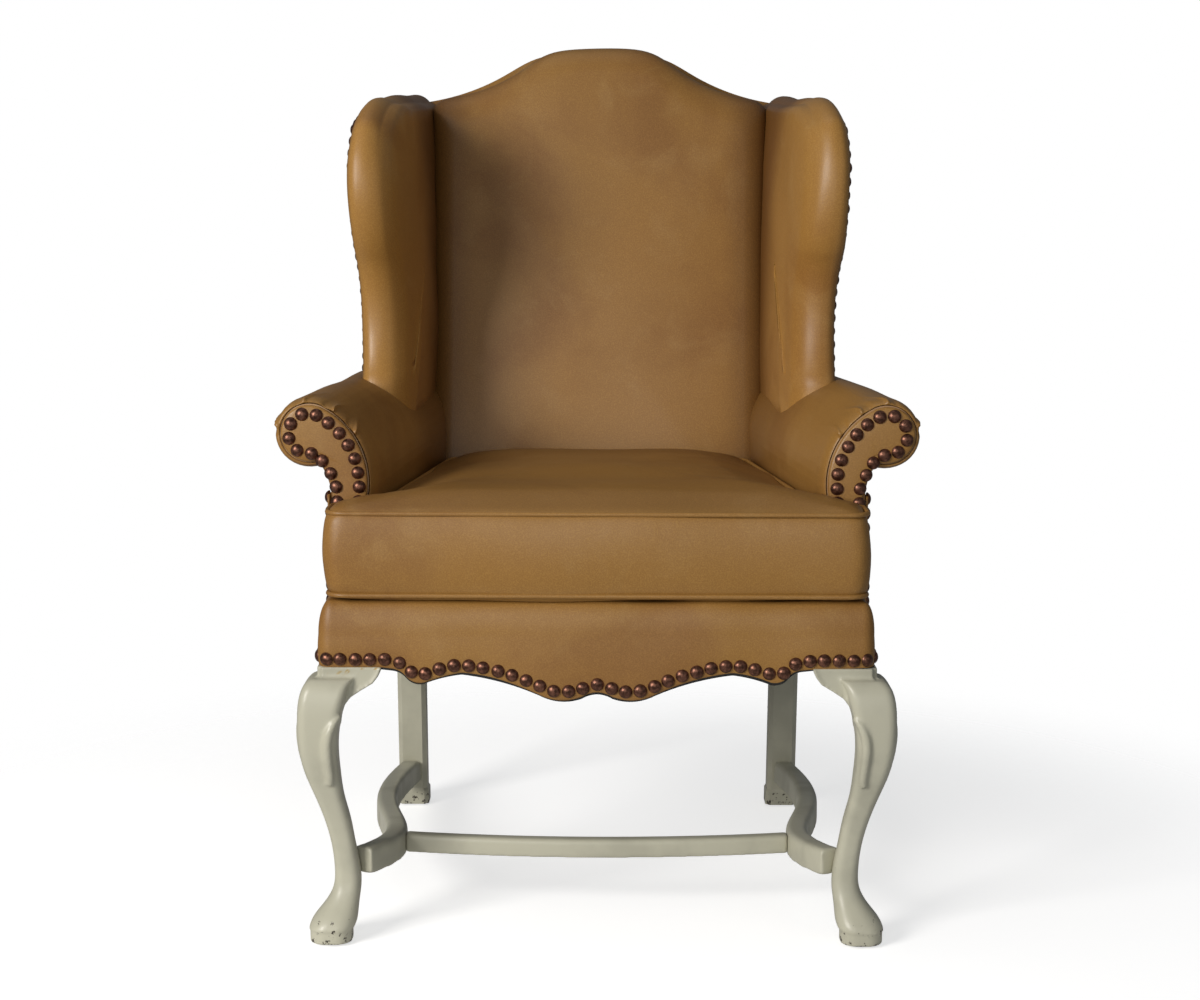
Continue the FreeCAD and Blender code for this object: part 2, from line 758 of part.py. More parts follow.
def cushion_wire(z, inset):
    """T outline of the cushion at height z, drawn in by inset, with rounded ears."""
    k = inset
    y_back = inside_back(min(z, cushion_seam_high)) - cushion_back_gap
    t_back = (y_back - arm_front) / (arm_rear - arm_front)
    xa = arm_inner[0] - arm_full - cushion_arm_gap - k
    xb = blend(arm_inner, t_back) - arm_full - cushion_arm_gap - k
    ear_back = arm_front - facing_thick - nail_dome - cushion_arm_gap - k
    r, m = cushion_corner, cushion_corner * (1 - math.sqrt(0.5))
    c, n = cushion_nick, cushion_nick_rise
    x1, y0, y1 = cushion_ear - k, cushion_front + k, y_back - k
    right = [
        (x1 - r, y0), ((x1 - m, y0 + m), (x1, y0 + r)),
        (x1, ear_back - c), ((x1 - n, ear_back - n), (x1 - c, ear_back)),
        (xa + c, ear_back), ((xa + n, ear_back + n), (xa, ear_back + c)),
        (xb, y1 - r), ((xb - m, y1 - m), (xb - r, y1)),
    ]
    left = []
    for step in right:
        bend, end = step if isinstance(step[0], tuple) else (None, step)
        left.append((end, bend))
    back = [(-left[-1][0][0], left[-1][0][1])]
    for (end, bend), (before, _) in zip(reversed(left[1:]), reversed(left[:-1])):
        goal = (-before[0], before[1])
        back.append(((-bend[0], bend[1]), goal) if bend else goal)
    return curved_wire((-x1 + r, y0), right + back, lambda u, v: V(u, v, z))


def cushion_levels():
    """Height and inset up the cushion: flat underside, boxing drawn in at the seams, crowned top."""
    low, high, b = cushion_seam_low, cushion_seam_high, cushion_bulge
    rise = cushion_crown - cushion_seam_high
    turn, turn_inset = cushion_boxing_turn
    levels = [(cushion_low + soft_gap, cushion_under_inset), (low - welt_radius, b + welt_radius), (low, b)]
    levels += [(low + turn, turn_inset), ((low + high) / 2, 0.0), (high - turn, turn_inset), (high, b)]
    levels += [(high + rise * share, b + inset) for share, inset in cushion_crown_steps]
    return levels


def cushion_form(skin):
    levels = cushion_levels()
    (low, low_inset), (high, high_inset) = levels[0], levels[-1]
    levels = [(low + skin, low_inset)] + levels[1:-1] + [(high - skin, high_inset)]
    return Part.makeLoft([cushion_wire(z, inset + skin) for z, inset in levels], True, True)


def cushion_welts(cover):
    """Welt sewn round both seams, standing proud of the boxing."""
    made = []
    for z in (cushion_seam_low, cushion_seam_high):
        outer = cushion_wire(z - welt_radius, cushion_bulge - welt_radius)
        inner = cushion_wire(z - welt_radius, cushion_bulge + welt_radius)
        ring = Part.Face(outer).cut(Part.Face(inner)).extrude(V(0, 0, 2 * welt_radius))
        made += ring.cut(cover).Solids
    return [s for s in made if s.BoundBox.XLength > cushion_ear]


# Nails


def nail_at(point, out):
    """Domed head, its flat back on the leather at the point, facing out."""
    ball = (nail_radius ** 2 + nail_dome ** 2) / (2 * nail_dome)
    below = ball - nail_dome
    rim = math.degrees(math.asin(below / ball))
    head = Part.makeSphere(ball, V(0, 0, -below), Z_AXIS, rim, 90, 360)
    turn = FreeCAD.Placement(point, FreeCAD.Rotation(Z_AXIS, out))
    return head.transformGeometry(turn.toMatrix())


def spaced(wire, pitch):
    count = max(2, round(wire.Length / pitch) + 1)
    return wire.discretize(Number=count)


def border_nails():
    """Row along the scallop, on the front of the border."""
    y = frame_front - border_pad - leather
    end = border_half - 9
    edge, steps, place = scallop_wire(nail_inset, end, y)
    edges, at = [], (-end, edge[1])
    for step in steps:
        if isinstance(step[0], tuple):
            edges.append(Part.Arc(place(*at), place(*step[0]), place(*step[1])).toShape())
            at = step[1]
        else:
            edges.append(Part.LineSegment(place(*at), place(*step)).toShape())
            at = step
    made = [nail_at(p, V(0, -1, 0)) for p in spaced(Part.Wire(edges), nail_pitch)]
    for side in (1, -1):
        for i in range(4):
            p = V(side * border_half, y + 22 + i * nail_pitch, border_edge + nail_inset)
            made.append(nail_at(p, V(side, 0, 0)))
    return made


def facing_nails():
    """Row round each arm facing, inside its edge."""
    inset = facing_inset + nail_radius + 3.0
    wire = arm_section(arm_front, inset + arm_full)
    y = arm_front - facing_thick
    edges = [e for e in wire.Edges if e.BoundBox.ZMax > deck_top + 30 and e.BoundBox.ZLength > 2]
    path = Part.Wire(Part.__sortEdges__(edges))
    made = []
    for p in spaced(path, nail_pitch):
        if p.z > deck_top + 20:
            head = nail_at(V(p.x, y, p.z), V(0, -1, 0))
            made += [head, mirrored(head)]
    return made


def outside_nails():
    """Row down the front edge of each outside arm panel and along its foot."""
    made = []
    z0, z1 = border_edge + nail_inset, lobe_z[0] - 78.0
    y_row = arm_front + 12.0
    rows = []
    count = round((z1 - z0) / nail_pitch)
    for i in range(count + 1):
        rows.append((y_row, z0 + (z1 - z0) * i / count))
    y_end = post_back(z0) - 12
    count = round((y_end - y_row) / nail_pitch)
    for i in range(1, count + 1):
        rows.append((y_row + (y_end - y_row) * i / count, z0))
    for y, z in rows:
        head = nail_at(V(panel_x(y) + panel_leather, y, z), side_normal())
        made += [head, mirrored(head)]
    return made


def panel_x(y):
    """Half width where the outside arm panel lies on the arm and the rail."""
    return blend(arm_tail, (y - arm_front) / (arm_rear - arm_front))


def side_normal():
    slope = (arm_tail[1] - arm_tail[0]) / (arm_rear - arm_front)
    n = V(1, -slope, 0)
    return n.normalize()


def wing_nails():
    """Row inside the front edge of each outside wing panel."""
    wire = wing_wire(0.0, wing_panel_inset + nail_radius)
    path = Part.Wire(Part.__sortEdges__(wire.Edges[1:4]))
    made = []
    for p in spaced(path, nail_pitch):
        if p.z > lobe_z[0] + 50:
            head = nail_at(V(panel_leather, p.y, p.z), X_AXIS)
            place_wing(head)
            made += [head, mirrored(head)]
    return made


def back_nails():
    """Row down each side of the outside back and along its foot."""
    made = []
    z0, z1 = border_edge + nail_inset, crest_arcs[-1][2][1] - 40
    x = frame_half_rear - 10
    slope = lambda z: V(0, 1, -(post_back(z + 1) - post_back(z - 1)) / 2).normalize()
    count = round((z1 - z0) / nail_pitch)
    for i in range(count + 1):
        z = z0 + (z1 - z0) * i / count
        head = nail_at(V(x, post_back(z) + leather + nail_seat, z), slope(z))
        made += [head, mirrored(head)]
    count = round(2 * x / nail_pitch)
    for i in range(1, count):
        made.append(nail_at(V(-x + 2 * x * i / count, post_back(z0) + leather + nail_seat, z0), slope(z0)))
    return made


# Panels


def outside_arm_cover():
    """Leather panel from under the roll to the foot of the side rail."""
    y0, y1 = arm_front, post_back(rail_bottom) - 2
    z0, z1 = border_edge, lobe_z[0] - 74.0
    x0, x1 = panel_x(y0), panel_x(y1)
    points = [(x0, y0), (x0 + panel_leather, y0), (x1 + panel_leather, y1), (x1, y1)]
    lower = prism([V(x, y, z0) for x, y in points], V(0, 0, z1 - z0))
    back_edge = post_back(z1)
    x2 = panel_x(back_edge)
    points = [(x1, y1), (x1 + panel_leather, y1), (x2 + panel_leather, back_edge), (x2, back_edge)]
    upper = prism([V(x, y, back_foot_z) for x, y in points], V(0, 0, z1 - back_foot_z))
    return lower.fuse(upper).removeSplitter()


def outside_wing_cover(arms):
    panel = Part.Face(wing_wire(0.0, wing_panel_inset)).extrude(V(panel_leather, 0, 0))
    return main_solid(place_wing(panel).cut(arms))


def outside_back_cover():
    """Leather panel over the back of the posts and rails, with the crest's outline."""
    half = frame_half_rear
    side = [(post_back(rail_bottom), border_edge)]
    side += [(post_back(z), z) for z in (rail_bottom, back_foot_z, back_top_z)]
    far = [(y + leather, z) for y, z in reversed(side)]
    slab = prism([V(-half, y, z) for y, z in side + far], V(2 * half, 0, 0))
    k = outside_back_inset
    left, right = crest_sides(1.0, k)
    end = crest_arcs[-1][2]
    steps = [(-half, end[1] - k), (-end[0], end[1] - k)] + left + right + [(half, end[1] - k), (half, border_edge)]
    outline = Part.Face(curved_wire((-half, border_edge), steps, lambda u, v: V(u, 0, v)))
    return main_solid(slab.common(outline.extrude(V(0, 2 * outside_top, 0))))


def back_behind():
    """Everything behind the outside back's leather line, to trim the arms, wings and back."""
    zs = (border_edge - 40, rail_bottom, back_foot_z, post_top, back_top_z + 60)
    points = [V(-500, post_back(z), z) for z in zs] + [V(-500, 700, zs[-1]), V(-500, 700, zs[0])]
    return prism(points, V(1000, 0, 0))


def build():
    os.makedirs("parts", exist_ok=True)

    leg, post = front_leg(), back_post()
    front_rail, side_rail, rear_rail = front_seat_rail(), side_seat_rail(), back_seat_rail()
    blocks, screws = corner_blocks()
    screw_set = Part.makeCompound(screws)
    front_rail, side_rail, rear_rail = [rail.cut(screw_set) for rail in (front_rail, side_rail, rear_rail)]
    rails = Part.makeCompound([front_rail, side_rail, rear_rail])
    leg = main_solid(leg.cut([rails, screw_set]))
    crest, stay = crest_rail(), stay_rail()
    post = main_solid(post.cut([rails, screw_set]))
    both_posts = Part.makeCompound([post, mirrored(post)])
    crest = solids(crest.cut(both_posts))
    stretcher = side_stretcher()
    stretcher = main_solid(stretcher.cut(Part.makeCompound([leg, post])))
    sides = Part.makeCompound([stretcher, mirrored(stretcher)])
    cross = cross_stretcher(sides)
    knees = knee_block(leg)

    save_pair("front_leg", leg)
    save_pair("knee_blocks", solids(knees.cut(front_rail)))
    save_pair("back_post", post)
    save_pair("side_stretcher", stretcher)
    save("cross_stretcher", cross)
    save("front_seat_rail", front_rail)
    save_pair("side_seat_rail", side_rail)
    save("back_seat_rail", rear_rail)
    save("foot_glides", Part.makeCompound(foot_glides()))
    save("crest_rail", crest)
    save("back_stay_rail", stay)

    corners = Part.makeCompound([leg, mirrored(leg), both_posts])
    blocks = [main_solid(block.cut([screw_set, corners])) for block in blocks]
    save("corner_blocks", Part.makeCompound(blocks))
    save("corner_block_screws", Part.makeCompound(screws))

    arm_out = arm_solid(arm_front, arm_rear + 60, 0.0)
    arm_in = arm_solid(arm_front, arm_rear + 60, leather)
    stump = facing_solid(arm_front, arm_front + stump_thick, stump_inset)
    stump = stump.cut(Part.makeCompound([side_rail, leg]))
    rail = arm_rail().cut(post)
    wing_upright, wing_top = wing_woods(arm_out)
    wing_top = solids(wing_top.cut(post))
    woods = Part.makeCompound([stump, rail, post, side_rail, leg, wing_upright, wing_top, crest, stay])
    behind = back_behind()
    straps = [strap.cut(stay) for strap in back_webbing()]
    within = [woods, behind] + straps
    arm_cover = main_solid(arm_out.cut([arm_in] + within))
    arm_pad = main_solid(arm_in.cut(within))
    facing = facing_solid(arm_front - facing_thick, arm_front, arm_full + facing_inset)

    wing_out, wing_in = wing_solid(0.0), wing_solid(leather)
    wing_cover = main_solid(wing_out.cut([wing_in, arm_out] + within))
    wing_pad = main_solid(wing_in.cut([arm_out] + within))

    back_out, back_in = back_solid(0.0), back_solid(leather)
    sides_all = [arm_out, mirrored(arm_out), wing_out, mirrored(wing_out), both_posts, crest, stay, behind]
    back_cover = main_solid(back_out.cut([back_in] + sides_all + straps))
    back_pad = main_solid(back_in.cut(sides_all + straps + [wing_in, mirrored(wing_in)]))

    arm_panel = outside_arm_cover()
    save_pair("arm_stump", main_solid(stump.cut(arm_panel)))
    save_pair("arm_rail", main_solid(rail))
    save_pair("wing_upright", wing_upright)
    save_pair("wing_top_rail", wing_top)
    save_pair("arm_pad", arm_pad)
    save_pair("arm_cover", arm_cover)
    save_pair("wing_pad", wing_pad)
    save_pair("wing_cover", wing_cover)
    save("back_pad", back_pad)
    save("inside_back_cover", back_cover)
    save("back_webbing", Part.makeCompound(straps))
    save_pair("outside_arm_cover", arm_panel)
    save_pair("outside_wing_cover", outside_wing_cover([arm_out, post, behind]))
    back_heads = Part.makeCompound(back_nails())
    back_panel = outside_back_cover().cut([wing_top, mirrored(wing_top), both_posts, back_heads])
    save("outside_back_cover", main_solid(back_panel))

    outer = border_solid(border_pad + leather, arm_front)
    inner = border_solid(border_pad, arm_front)
    save_pair("arm_facing", main_solid(facing.cut(outer)))
    frame_front_set = [front_rail, leg, mirrored(leg), side_rail, mirrored(side_rail)]
    inside_top = deck_top - border_pad - leather
    inside = box(-frame_half_front, frame_half_front, frame_front, arm_front + 1, 0, inside_top)
    border_cover = solids(outer.cut([inner, knees, mirrored(knees)] + frame_front_set))
    border_fill = solids(inner.cut([inside] + frame_front_set))
    save("front_border_cover", border_cover)
    save("front_border_pad", border_fill)

    coils, clips = springs()
    save("seat_springs", Part.makeCompound(coils))
    save("spring_clips", Part.makeCompound(clips))

    low, high = rail_top + 2 * spring_wire + clip_thick + soft_gap, deck_top - deck_cover_thick
    y1 = inside_back(back_foot_z)
    deck_pad = Part.Face(deck_outline(low, y1)).extrude(V(0, 0, high - low))
    deck_cover = Part.Face(deck_outline(high, y1)).extrude(V(0, 0, deck_cover_thick))
    save("deck_pad", deck_pad)
    save("deck_cover", deck_cover)

    cushion_out, cushion_in = cushion_form(0.0), cushion_form(leather)
    cover = solids(cushion_out.cut(cushion_in))
    save("cushion_cover", cover)
    save("cushion_core", cushion_in)
    save("cushion_welts", Part.makeCompound(cushion_welts(cushion_out)))

    save("nails_front_border", Part.makeCompound(border_nails()))
    save("nails_arm_facings", Part.makeCompound(facing_nails()))
    save("nails_outside_arms", Part.makeCompound(outside_nails()))
    save("nails_wings", Part.makeCompound(wing_nails()))
    save("nails_outside_back", back_heads)

    lining_y0, lining_y1 = frame_front + rail_thick, rear_rail_back - 8 - rail_thick
    x0, x1 = side_half(lining_y0) - rail_thick, side_half(lining_y1) - rail_thick
    points = [(-x0, lining_y0), (x0, lining_y0), (x1, lining_y1), (-x1, lining_y1)]
    lining = prism([V(x, y, rail_bottom - dust_cover_thick) for x, y in points], V(0, 0, dust_cover_thick))
    save("dust_cover", main_solid(lining.cut(corners)))



build()
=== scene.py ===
"""Looks of a wingback armchair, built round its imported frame.

Sizes are millimetres in the shape functions and metres in the finished meshes.
"""

import math

import bmesh
import bpy
import numpy as np
from mathutils import Matrix, Vector, noise
from mathutils.bvhtree import BVHTree


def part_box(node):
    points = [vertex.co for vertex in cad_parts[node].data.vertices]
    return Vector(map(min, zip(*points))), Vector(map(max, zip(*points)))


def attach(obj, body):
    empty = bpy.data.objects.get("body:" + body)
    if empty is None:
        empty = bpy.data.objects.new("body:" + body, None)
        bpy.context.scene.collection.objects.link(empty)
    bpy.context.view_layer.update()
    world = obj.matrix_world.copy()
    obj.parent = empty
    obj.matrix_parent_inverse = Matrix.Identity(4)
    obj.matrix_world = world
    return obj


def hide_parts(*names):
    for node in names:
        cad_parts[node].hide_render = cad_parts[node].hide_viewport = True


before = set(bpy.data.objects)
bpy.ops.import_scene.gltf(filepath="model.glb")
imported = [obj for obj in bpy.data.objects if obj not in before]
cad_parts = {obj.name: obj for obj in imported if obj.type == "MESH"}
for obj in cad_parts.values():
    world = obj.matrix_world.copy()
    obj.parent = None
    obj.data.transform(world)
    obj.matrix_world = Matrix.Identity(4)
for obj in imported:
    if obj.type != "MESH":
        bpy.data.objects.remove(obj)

bl_info = {
    "name": "Wingback Armchair",
    "version": (1, 0, 0),
    "blender": (4, 5, 0),
    "location": "View3D > Sidebar > Armchair",
    "description": "Builds the covers, cushions, nails, carved legs and finishes of a wingback armchair",
    "category": "Object",
}

MM = 0.001
CHAIR, CUSHION = "chair", "cushion"
SIDES = (("right", 1.0), ("left", -1.0))


def node_box(name):
    """A node's lowest and highest corner in millimetres."""
    low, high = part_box(name)
    return np.array(low) / MM, np.array(high) / MM


DECK_LOW, DECK_HIGH = node_box("deck_cover")


def size_property(label, default, description):
    return bpy.props.FloatProperty(name=label, default=default, description=description)


def colour_property(label, default, description):
    return bpy.props.FloatVectorProperty(name=label, default=default, subtype="COLOR",
                                         description=description)


class ChairSizes(bpy.types.PropertyGroup):
    """Sizes that a maker would change."""

    nail_radius: size_property("Nail radius", 0.0081, "Radius of a domed nail head, in metres")
    nail_dome: size_property("Nail height", 0.0052, "Height of a nail head over the leather, in metres")
    welt_radius: size_property("Welt radius", 0.0029, "Radius of the piping round the cushion, in metres")
    pleat_depth: size_property("Pleat depth", 0.0046, "Depth of the pleats round the arm fronts, in metres")
    cushion_pressure: size_property("Cushion pressure", 2.2, "How hard the seat cushion's filling presses")
    lens: size_property("Lens", 68.76, "Focal length on a 36 mm sensor, in millimetres")


class ChairColours(bpy.types.PropertyGroup):
    """Colours that a maker would change."""

    leather: colour_property("Leather", (0.335, 0.170, 0.040), "The leather's ground colour")
    leather_dark: colour_property("Leather, dark", (0.215, 0.088, 0.018), "The leather's orange brown clouds")
    leather_pale: colour_property("Leather, pale", (0.370, 0.205, 0.062), "The leather's pale yellow clouds")
    paint: colour_property("Paint", (0.520, 0.505, 0.395), "Paint of the legs and stretchers")
    nail: colour_property("Nail bronze", (0.115, 0.052, 0.034), "Antique bronze of the nail heads")


# Curves


def smooth_curve(points, count):
    """Points evenly spaced on a curve that passes smoothly through the given points."""
    points = np.asarray(points, float)
    chord = np.concatenate([[0.0], np.cumsum(np.linalg.norm(np.diff(points, axis=0), axis=1) ** 0.75)])
    dense = np.linspace(0.0, chord[-1], 60 * len(points))
    fine = np.stack([spline(chord, column, dense) for column in points.T], axis=1)
    return resample(fine, count)


def spline(x, y, at):
    """Natural cubic spline through (x, y), read at the given places."""
    n = len(x)
    h = np.diff(x)
    a = np.eye(n)
    b = np.zeros(n)
    for i in range(1, n - 1):
        a[i, i - 1], a[i, i], a[i, i + 1] = h[i - 1], 2 * (h[i - 1] + h[i]), h[i]
        b[i] = 6 * ((y[i + 1] - y[i]) / h[i] - (y[i] - y[i - 1]) / h[i - 1])
    m = np.linalg.solve(a, b)
    k = np.clip(np.searchsorted(x, at) - 1, 0, n - 2)
    t0, t1 = at - x[k], x[k + 1] - at
    return (m[k] * t1 ** 3 + m[k + 1] * t0 ** 3) / (6 * h[k]) + (y[k] / h[k] - m[k] * h[k] / 6) * t1 + (
        y[k + 1] / h[k] - m[k + 1] * h[k] / 6) * t0


def resample(points, count):
    """The polyline's points, spaced evenly."""
    points = np.asarray(points, float)
    run = np.concatenate([[0.0], np.cumsum(np.linalg.norm(np.diff(points, axis=0), axis=1))])
    at = np.linspace(0.0, run[-1], count)
    return np.stack([np.interp(at, run, column) for column in points.T], axis=1)


def arc_points(a, m, b, count=10):
    """Points on the arc from a through m to b, without its first."""
    a, m, b = np.asarray(a, float), np.asarray(m, float), np.asarray(b, float)
    d = 2 * ((a[0] - b[0]) * (m[1] - b[1]) - (m[0] - b[0]) * (a[1] - b[1]))
    if abs(d) < 1e-6:
        return [a + (b - a) * t for t in np.linspace(0, 1, count + 1)[1:]]
    sa, sm = (a ** 2).sum() - (b ** 2).sum(), (m ** 2).sum() - (b ** 2).sum()
    c = np.array([sa * (m[1] - b[1]) - sm * (a[1] - b[1]), (a[0] - b[0]) * sm - (m[0] - b[0]) * sa]) / d
    r = np.linalg.norm(a - c)
    t0, tm, t1 = [math.atan2(*(p - c)[::-1]) for p in (a, m, b)]
    turn = (t1 - t0) % (2 * math.pi)
    if (tm - t0) % (2 * math.pi) > turn:
        turn -= 2 * math.pi
    return [c + r * np.array([math.cos(t0 + turn * k), math.sin(t0 + turn * k)])
            for k in np.linspace(0, 1, count + 1)[1:]]


def path(start, steps, count=10):
    """Polyline from start along steps: an end point, or a point on the arc and its end point."""
    line = [np.asarray(start, float)]
    for step in steps:
        if len(step) == 2 and not np.isscalar(step[0]):
            line += arc_points(line[-1], step[0], step[1], count)
        else:
            line.append(np.asarray(step, float))
    return np.array(line)


def mix(a, b, t):
    return a + (b - a) * t


def ease(t):
    t = np.clip(t, 0.0, 1.0)
    return t * t * (3 - 2 * t)


# Meshes


def new_object(name, verts, faces):
    """A mesh object from millimetres, its doubles merged and its faces turned outward."""
    mesh = bpy.data.meshes.new(name)
    bm = bmesh.new()
    made = [bm.verts.new(Vector(v) * MM) for v in verts]
    for f in faces:
        corners = [made[i] for i in dict.fromkeys(f)]
        if len(corners) > 2:
            try:
                bm.faces.new(corners)
            except ValueError:
                continue
    bmesh.ops.remove_doubles(bm, verts=bm.verts, dist=2e-5)
    bmesh.ops.recalc_face_normals(bm, faces=bm.faces)
    for f in bm.faces:
        f.smooth = True
    bm.to_mesh(mesh)
    bm.free()
    obj = bpy.data.objects.new(name, mesh)
    bpy.context.scene.collection.objects.link(obj)
    return obj


def grid_faces(rows, columns, around=False):
    faces = []
    wide = columns if around else columns - 1
    for i in range(rows - 1):
        for j in range(wide):
            a, b = i * columns + j, i * columns + (j + 1) % columns
            faces.append((a, b, b + columns, a + columns))
    return faces


def cap_faces(rows, columns):
    """The two faces that close the ends of a grid whose rows go round."""
    return [tuple(range(columns)), tuple((rows - 1) * columns + i for i in range(columns))]


def solid_of(rings):
    """Vertices and faces of a closed body through rings of points."""
    rings = np.asarray(rings, float)
    faces = grid_faces(*rings.shape[:2], around=True) + cap_faces(*rings.shape[:2])
    return [tuple(p) for p in rings.reshape(-1, 3)], faces


def ring_solid(name, rings):
    return new_object(name, *solid_of(rings))


def grid_object(name, grid):
    """An open surface through a grid of points."""
    grid = np.asarray(grid, float)
    return new_object(name, grid.reshape(-1, 3), grid_faces(*grid.shape[:2]))


def mesh_points(obj):
    """The object's points in millimetres."""
    return np.array([v.co for v in obj.data.vertices]) / MM


def move_points(obj, points):
    obj.data.vertices.foreach_set("co", (points * MM).ravel())
    obj.data.update()


def apply_modifiers(obj):
    """The object's own modifiers made part of its mesh."""
    depsgraph = bpy.context.evaluated_depsgraph_get()
    mesh = bpy.data.meshes.new_from_object(obj.evaluated_get(depsgraph))
    obj.modifiers.clear()
    obj.data = mesh
    for polygon in mesh.polygons:
        polygon.use_smooth = True


def evened(obj, voxel, rounds=0):
    """The form rebuilt from small even faces, and smoothed in a number of rounds."""
    remesh = obj.modifiers.new("even", "REMESH")
    remesh.mode, remesh.voxel_size = "VOXEL", voxel
    if rounds:
        smoothed(obj, rounds)
    else:
        apply_modifiers(obj)


def smoothed(obj, rounds):
    smooth = obj.modifiers.new("smooth", "SMOOTH")
    smooth.factor, smooth.iterations = 0.5, rounds
    apply_modifiers(obj)


def thickened(obj, thickness):
    """A surface given its thickness on its inner side."""
    solid = obj.modifiers.new("thickness", "SOLIDIFY")
    solid.thickness, solid.offset = thickness, -1
    apply_modifiers(obj)


def finish_piece(obj, body, material, nodes=()):
    """Gives a finished piece its material in its one slot and its body, and hides the nodes that it stands
    for.
    """
    obj.data.materials.clear()
    obj.data.materials.append(material)
    for polygon in obj.data.polygons:
        polygon.material_index = 0
    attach(obj, body)
    if nodes:
        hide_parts(*nodes)
    return obj


def ripple(points, size, height, seed):
    """Slow random waves, as hand-stretched leather has."""
    rng = np.random.default_rng(seed)
    out = np.zeros(len(points))
    for _ in range(7):
        direction = rng.normal(size=3)
        direction /= np.linalg.norm(direction)
        wave = size * rng.uniform(0.6, 1.7)
        out += np.sin(points @ direction * 2 * math.pi / wave + rng.uniform(0, 2 * math.pi))
    return out * height / 2.6


def soften(obj, size, height, seed):
    """Moves the surface in and out by slow random waves."""
    points = mesh_points(obj)
    normals = np.array([v.normal for v in obj.data.vertices])
    move_points(obj, points + normals * ripple(points, size, height, seed)[:, None])


def mirror_points(points, side):
    out = np.array(points, float)
    out[..., 0] *= side
    return out


def paint_mask(obj, name, values):
    """A mask on the points that a material reads."""
    layer = obj.data.attributes.new(name, "FLOAT", "POINT")
    layer.data.foreach_set("value", np.asarray(values, np.float32))


# Materials


def connect(tree, node, sockets):
    """Sets a node's sockets to values or links them to other nodes' outputs."""
    for key, value in sockets.items():
        if isinstance(value, bpy.types.NodeSocket):
            tree.links.new(value, node.inputs[key])
        else:
            node.inputs[key].default_value = value
    return node


def add(tree, kind, sockets=None, **settings):
    """A node with its settings and socket values."""
    node = tree.nodes.new(kind)
    for key, value in settings.items():
        setattr(node, key, value)
    return connect(tree, node, sockets or {})


def maths(tree, operation, *values):
    return add(tree, "ShaderNodeMath", dict(enumerate(values)), operation=operation).outputs[0]


def clouds(tree, where, scale, detail, roughness=0.5, distortion=0.0):
    """Noise from 0 to 1."""
    return add(tree, "ShaderNodeTexNoise", {"Vector": where, "Scale": scale, "Detail": detail,
                                            "Roughness": roughness, "Distortion": distortion}).outputs["Fac"]


def ramp(tree, factor, low, high):
    """0 to 1 between two values, smoothly."""
    node = add(tree, "ShaderNodeMapRange", {"Value": factor, "From Min": low, "From Max": high},
               interpolation_type="SMOOTHSTEP")
    return node.outputs["Result"]


def colour_mix(tree, factor, a, b, blend="MIX"):
    node = add(tree, "ShaderNodeMix", data_type="RGBA", blend_type=blend)
    return connect(tree, node, {0: factor, 6: a, 7: b}).outputs[2]


def mask(tree, name):
    return add(tree, "ShaderNodeAttribute", attribute_name=name).outputs["Fac"]


def set_roughness(tree, shader, value, smooth, rough, low=0.0, high=1.0):
    """Roughness that goes from smooth to rough as the value goes from low to high."""
    spread = add(tree, "ShaderNodeMapRange", {"Value": value, "From Min": low, "From Max": high,
                                              "To Min": smooth, "To Max": rough})
    tree.links.new(spread.outputs["Result"], shader.inputs["Roughness"])


def set_relief(tree, shader, height, strength, distance):
    bump = add(tree, "ShaderNodeBump", {"Height": height, "Strength": strength, "Distance": distance})
    tree.links.new(bump.outputs["Normal"], shader.inputs["Normal"])


def group_tree(name, inputs, outputs):
    """An empty shader group with named sockets."""
    tree = bpy.data.node_groups.new(name, "ShaderNodeTree")
    for label, kind, default in inputs:
        socket = tree.interface.new_socket(name=label, in_out="INPUT", socket_type=kind)
        if default is not None:
            socket.default_value = default
    for label, kind in outputs:
        tree.interface.new_socket(name=label, in_out="OUTPUT", socket_type=kind)
    return tree, tree.nodes.new("NodeGroupInput"), tree.nodes.new("NodeGroupOutput")


VECTOR, VALUE, COLOUR = "NodeSocketVector", "NodeSocketFloat", "NodeSocketColor"
OBJECT, MATERIAL, WHOLE = "NodeSocketObject", "NodeSocketMaterial", "NodeSocketInt"


def dye_group():
    """Hand-rubbed clouds of dark and pale dye."""
    tree, inward, outward = group_tree("dye clouds", [
        ("Vector", VECTOR, None), ("Scale", VALUE, 4.0), ("Ground", COLOUR, None), ("Dark", COLOUR, None),
        ("Pale", COLOUR, None), ("Strength", VALUE, 1.0)], [("Color", COLOUR), ("Cloud", VALUE)])
    source = inward.outputs
    big = clouds(tree, source["Vector"], source["Scale"], 5.0, 0.55, 0.4)
    small = clouds(tree, source["Vector"], maths(tree, "MULTIPLY", source["Scale"], 3.1), 6.0, 0.6, 0.6)
    dark = maths(tree, "MULTIPLY", ramp(tree, big, 0.47, 0.68), source["Strength"])
    pale = maths(tree, "MULTIPLY", ramp(tree, small, 0.52, 0.72), source["Strength"])
    first = colour_mix(tree, dark, source["Ground"], source["Dark"])
    connect(tree, outward, {"Color": colour_mix(tree, pale, first, source["Pale"]), "Cloud": big})
    return tree


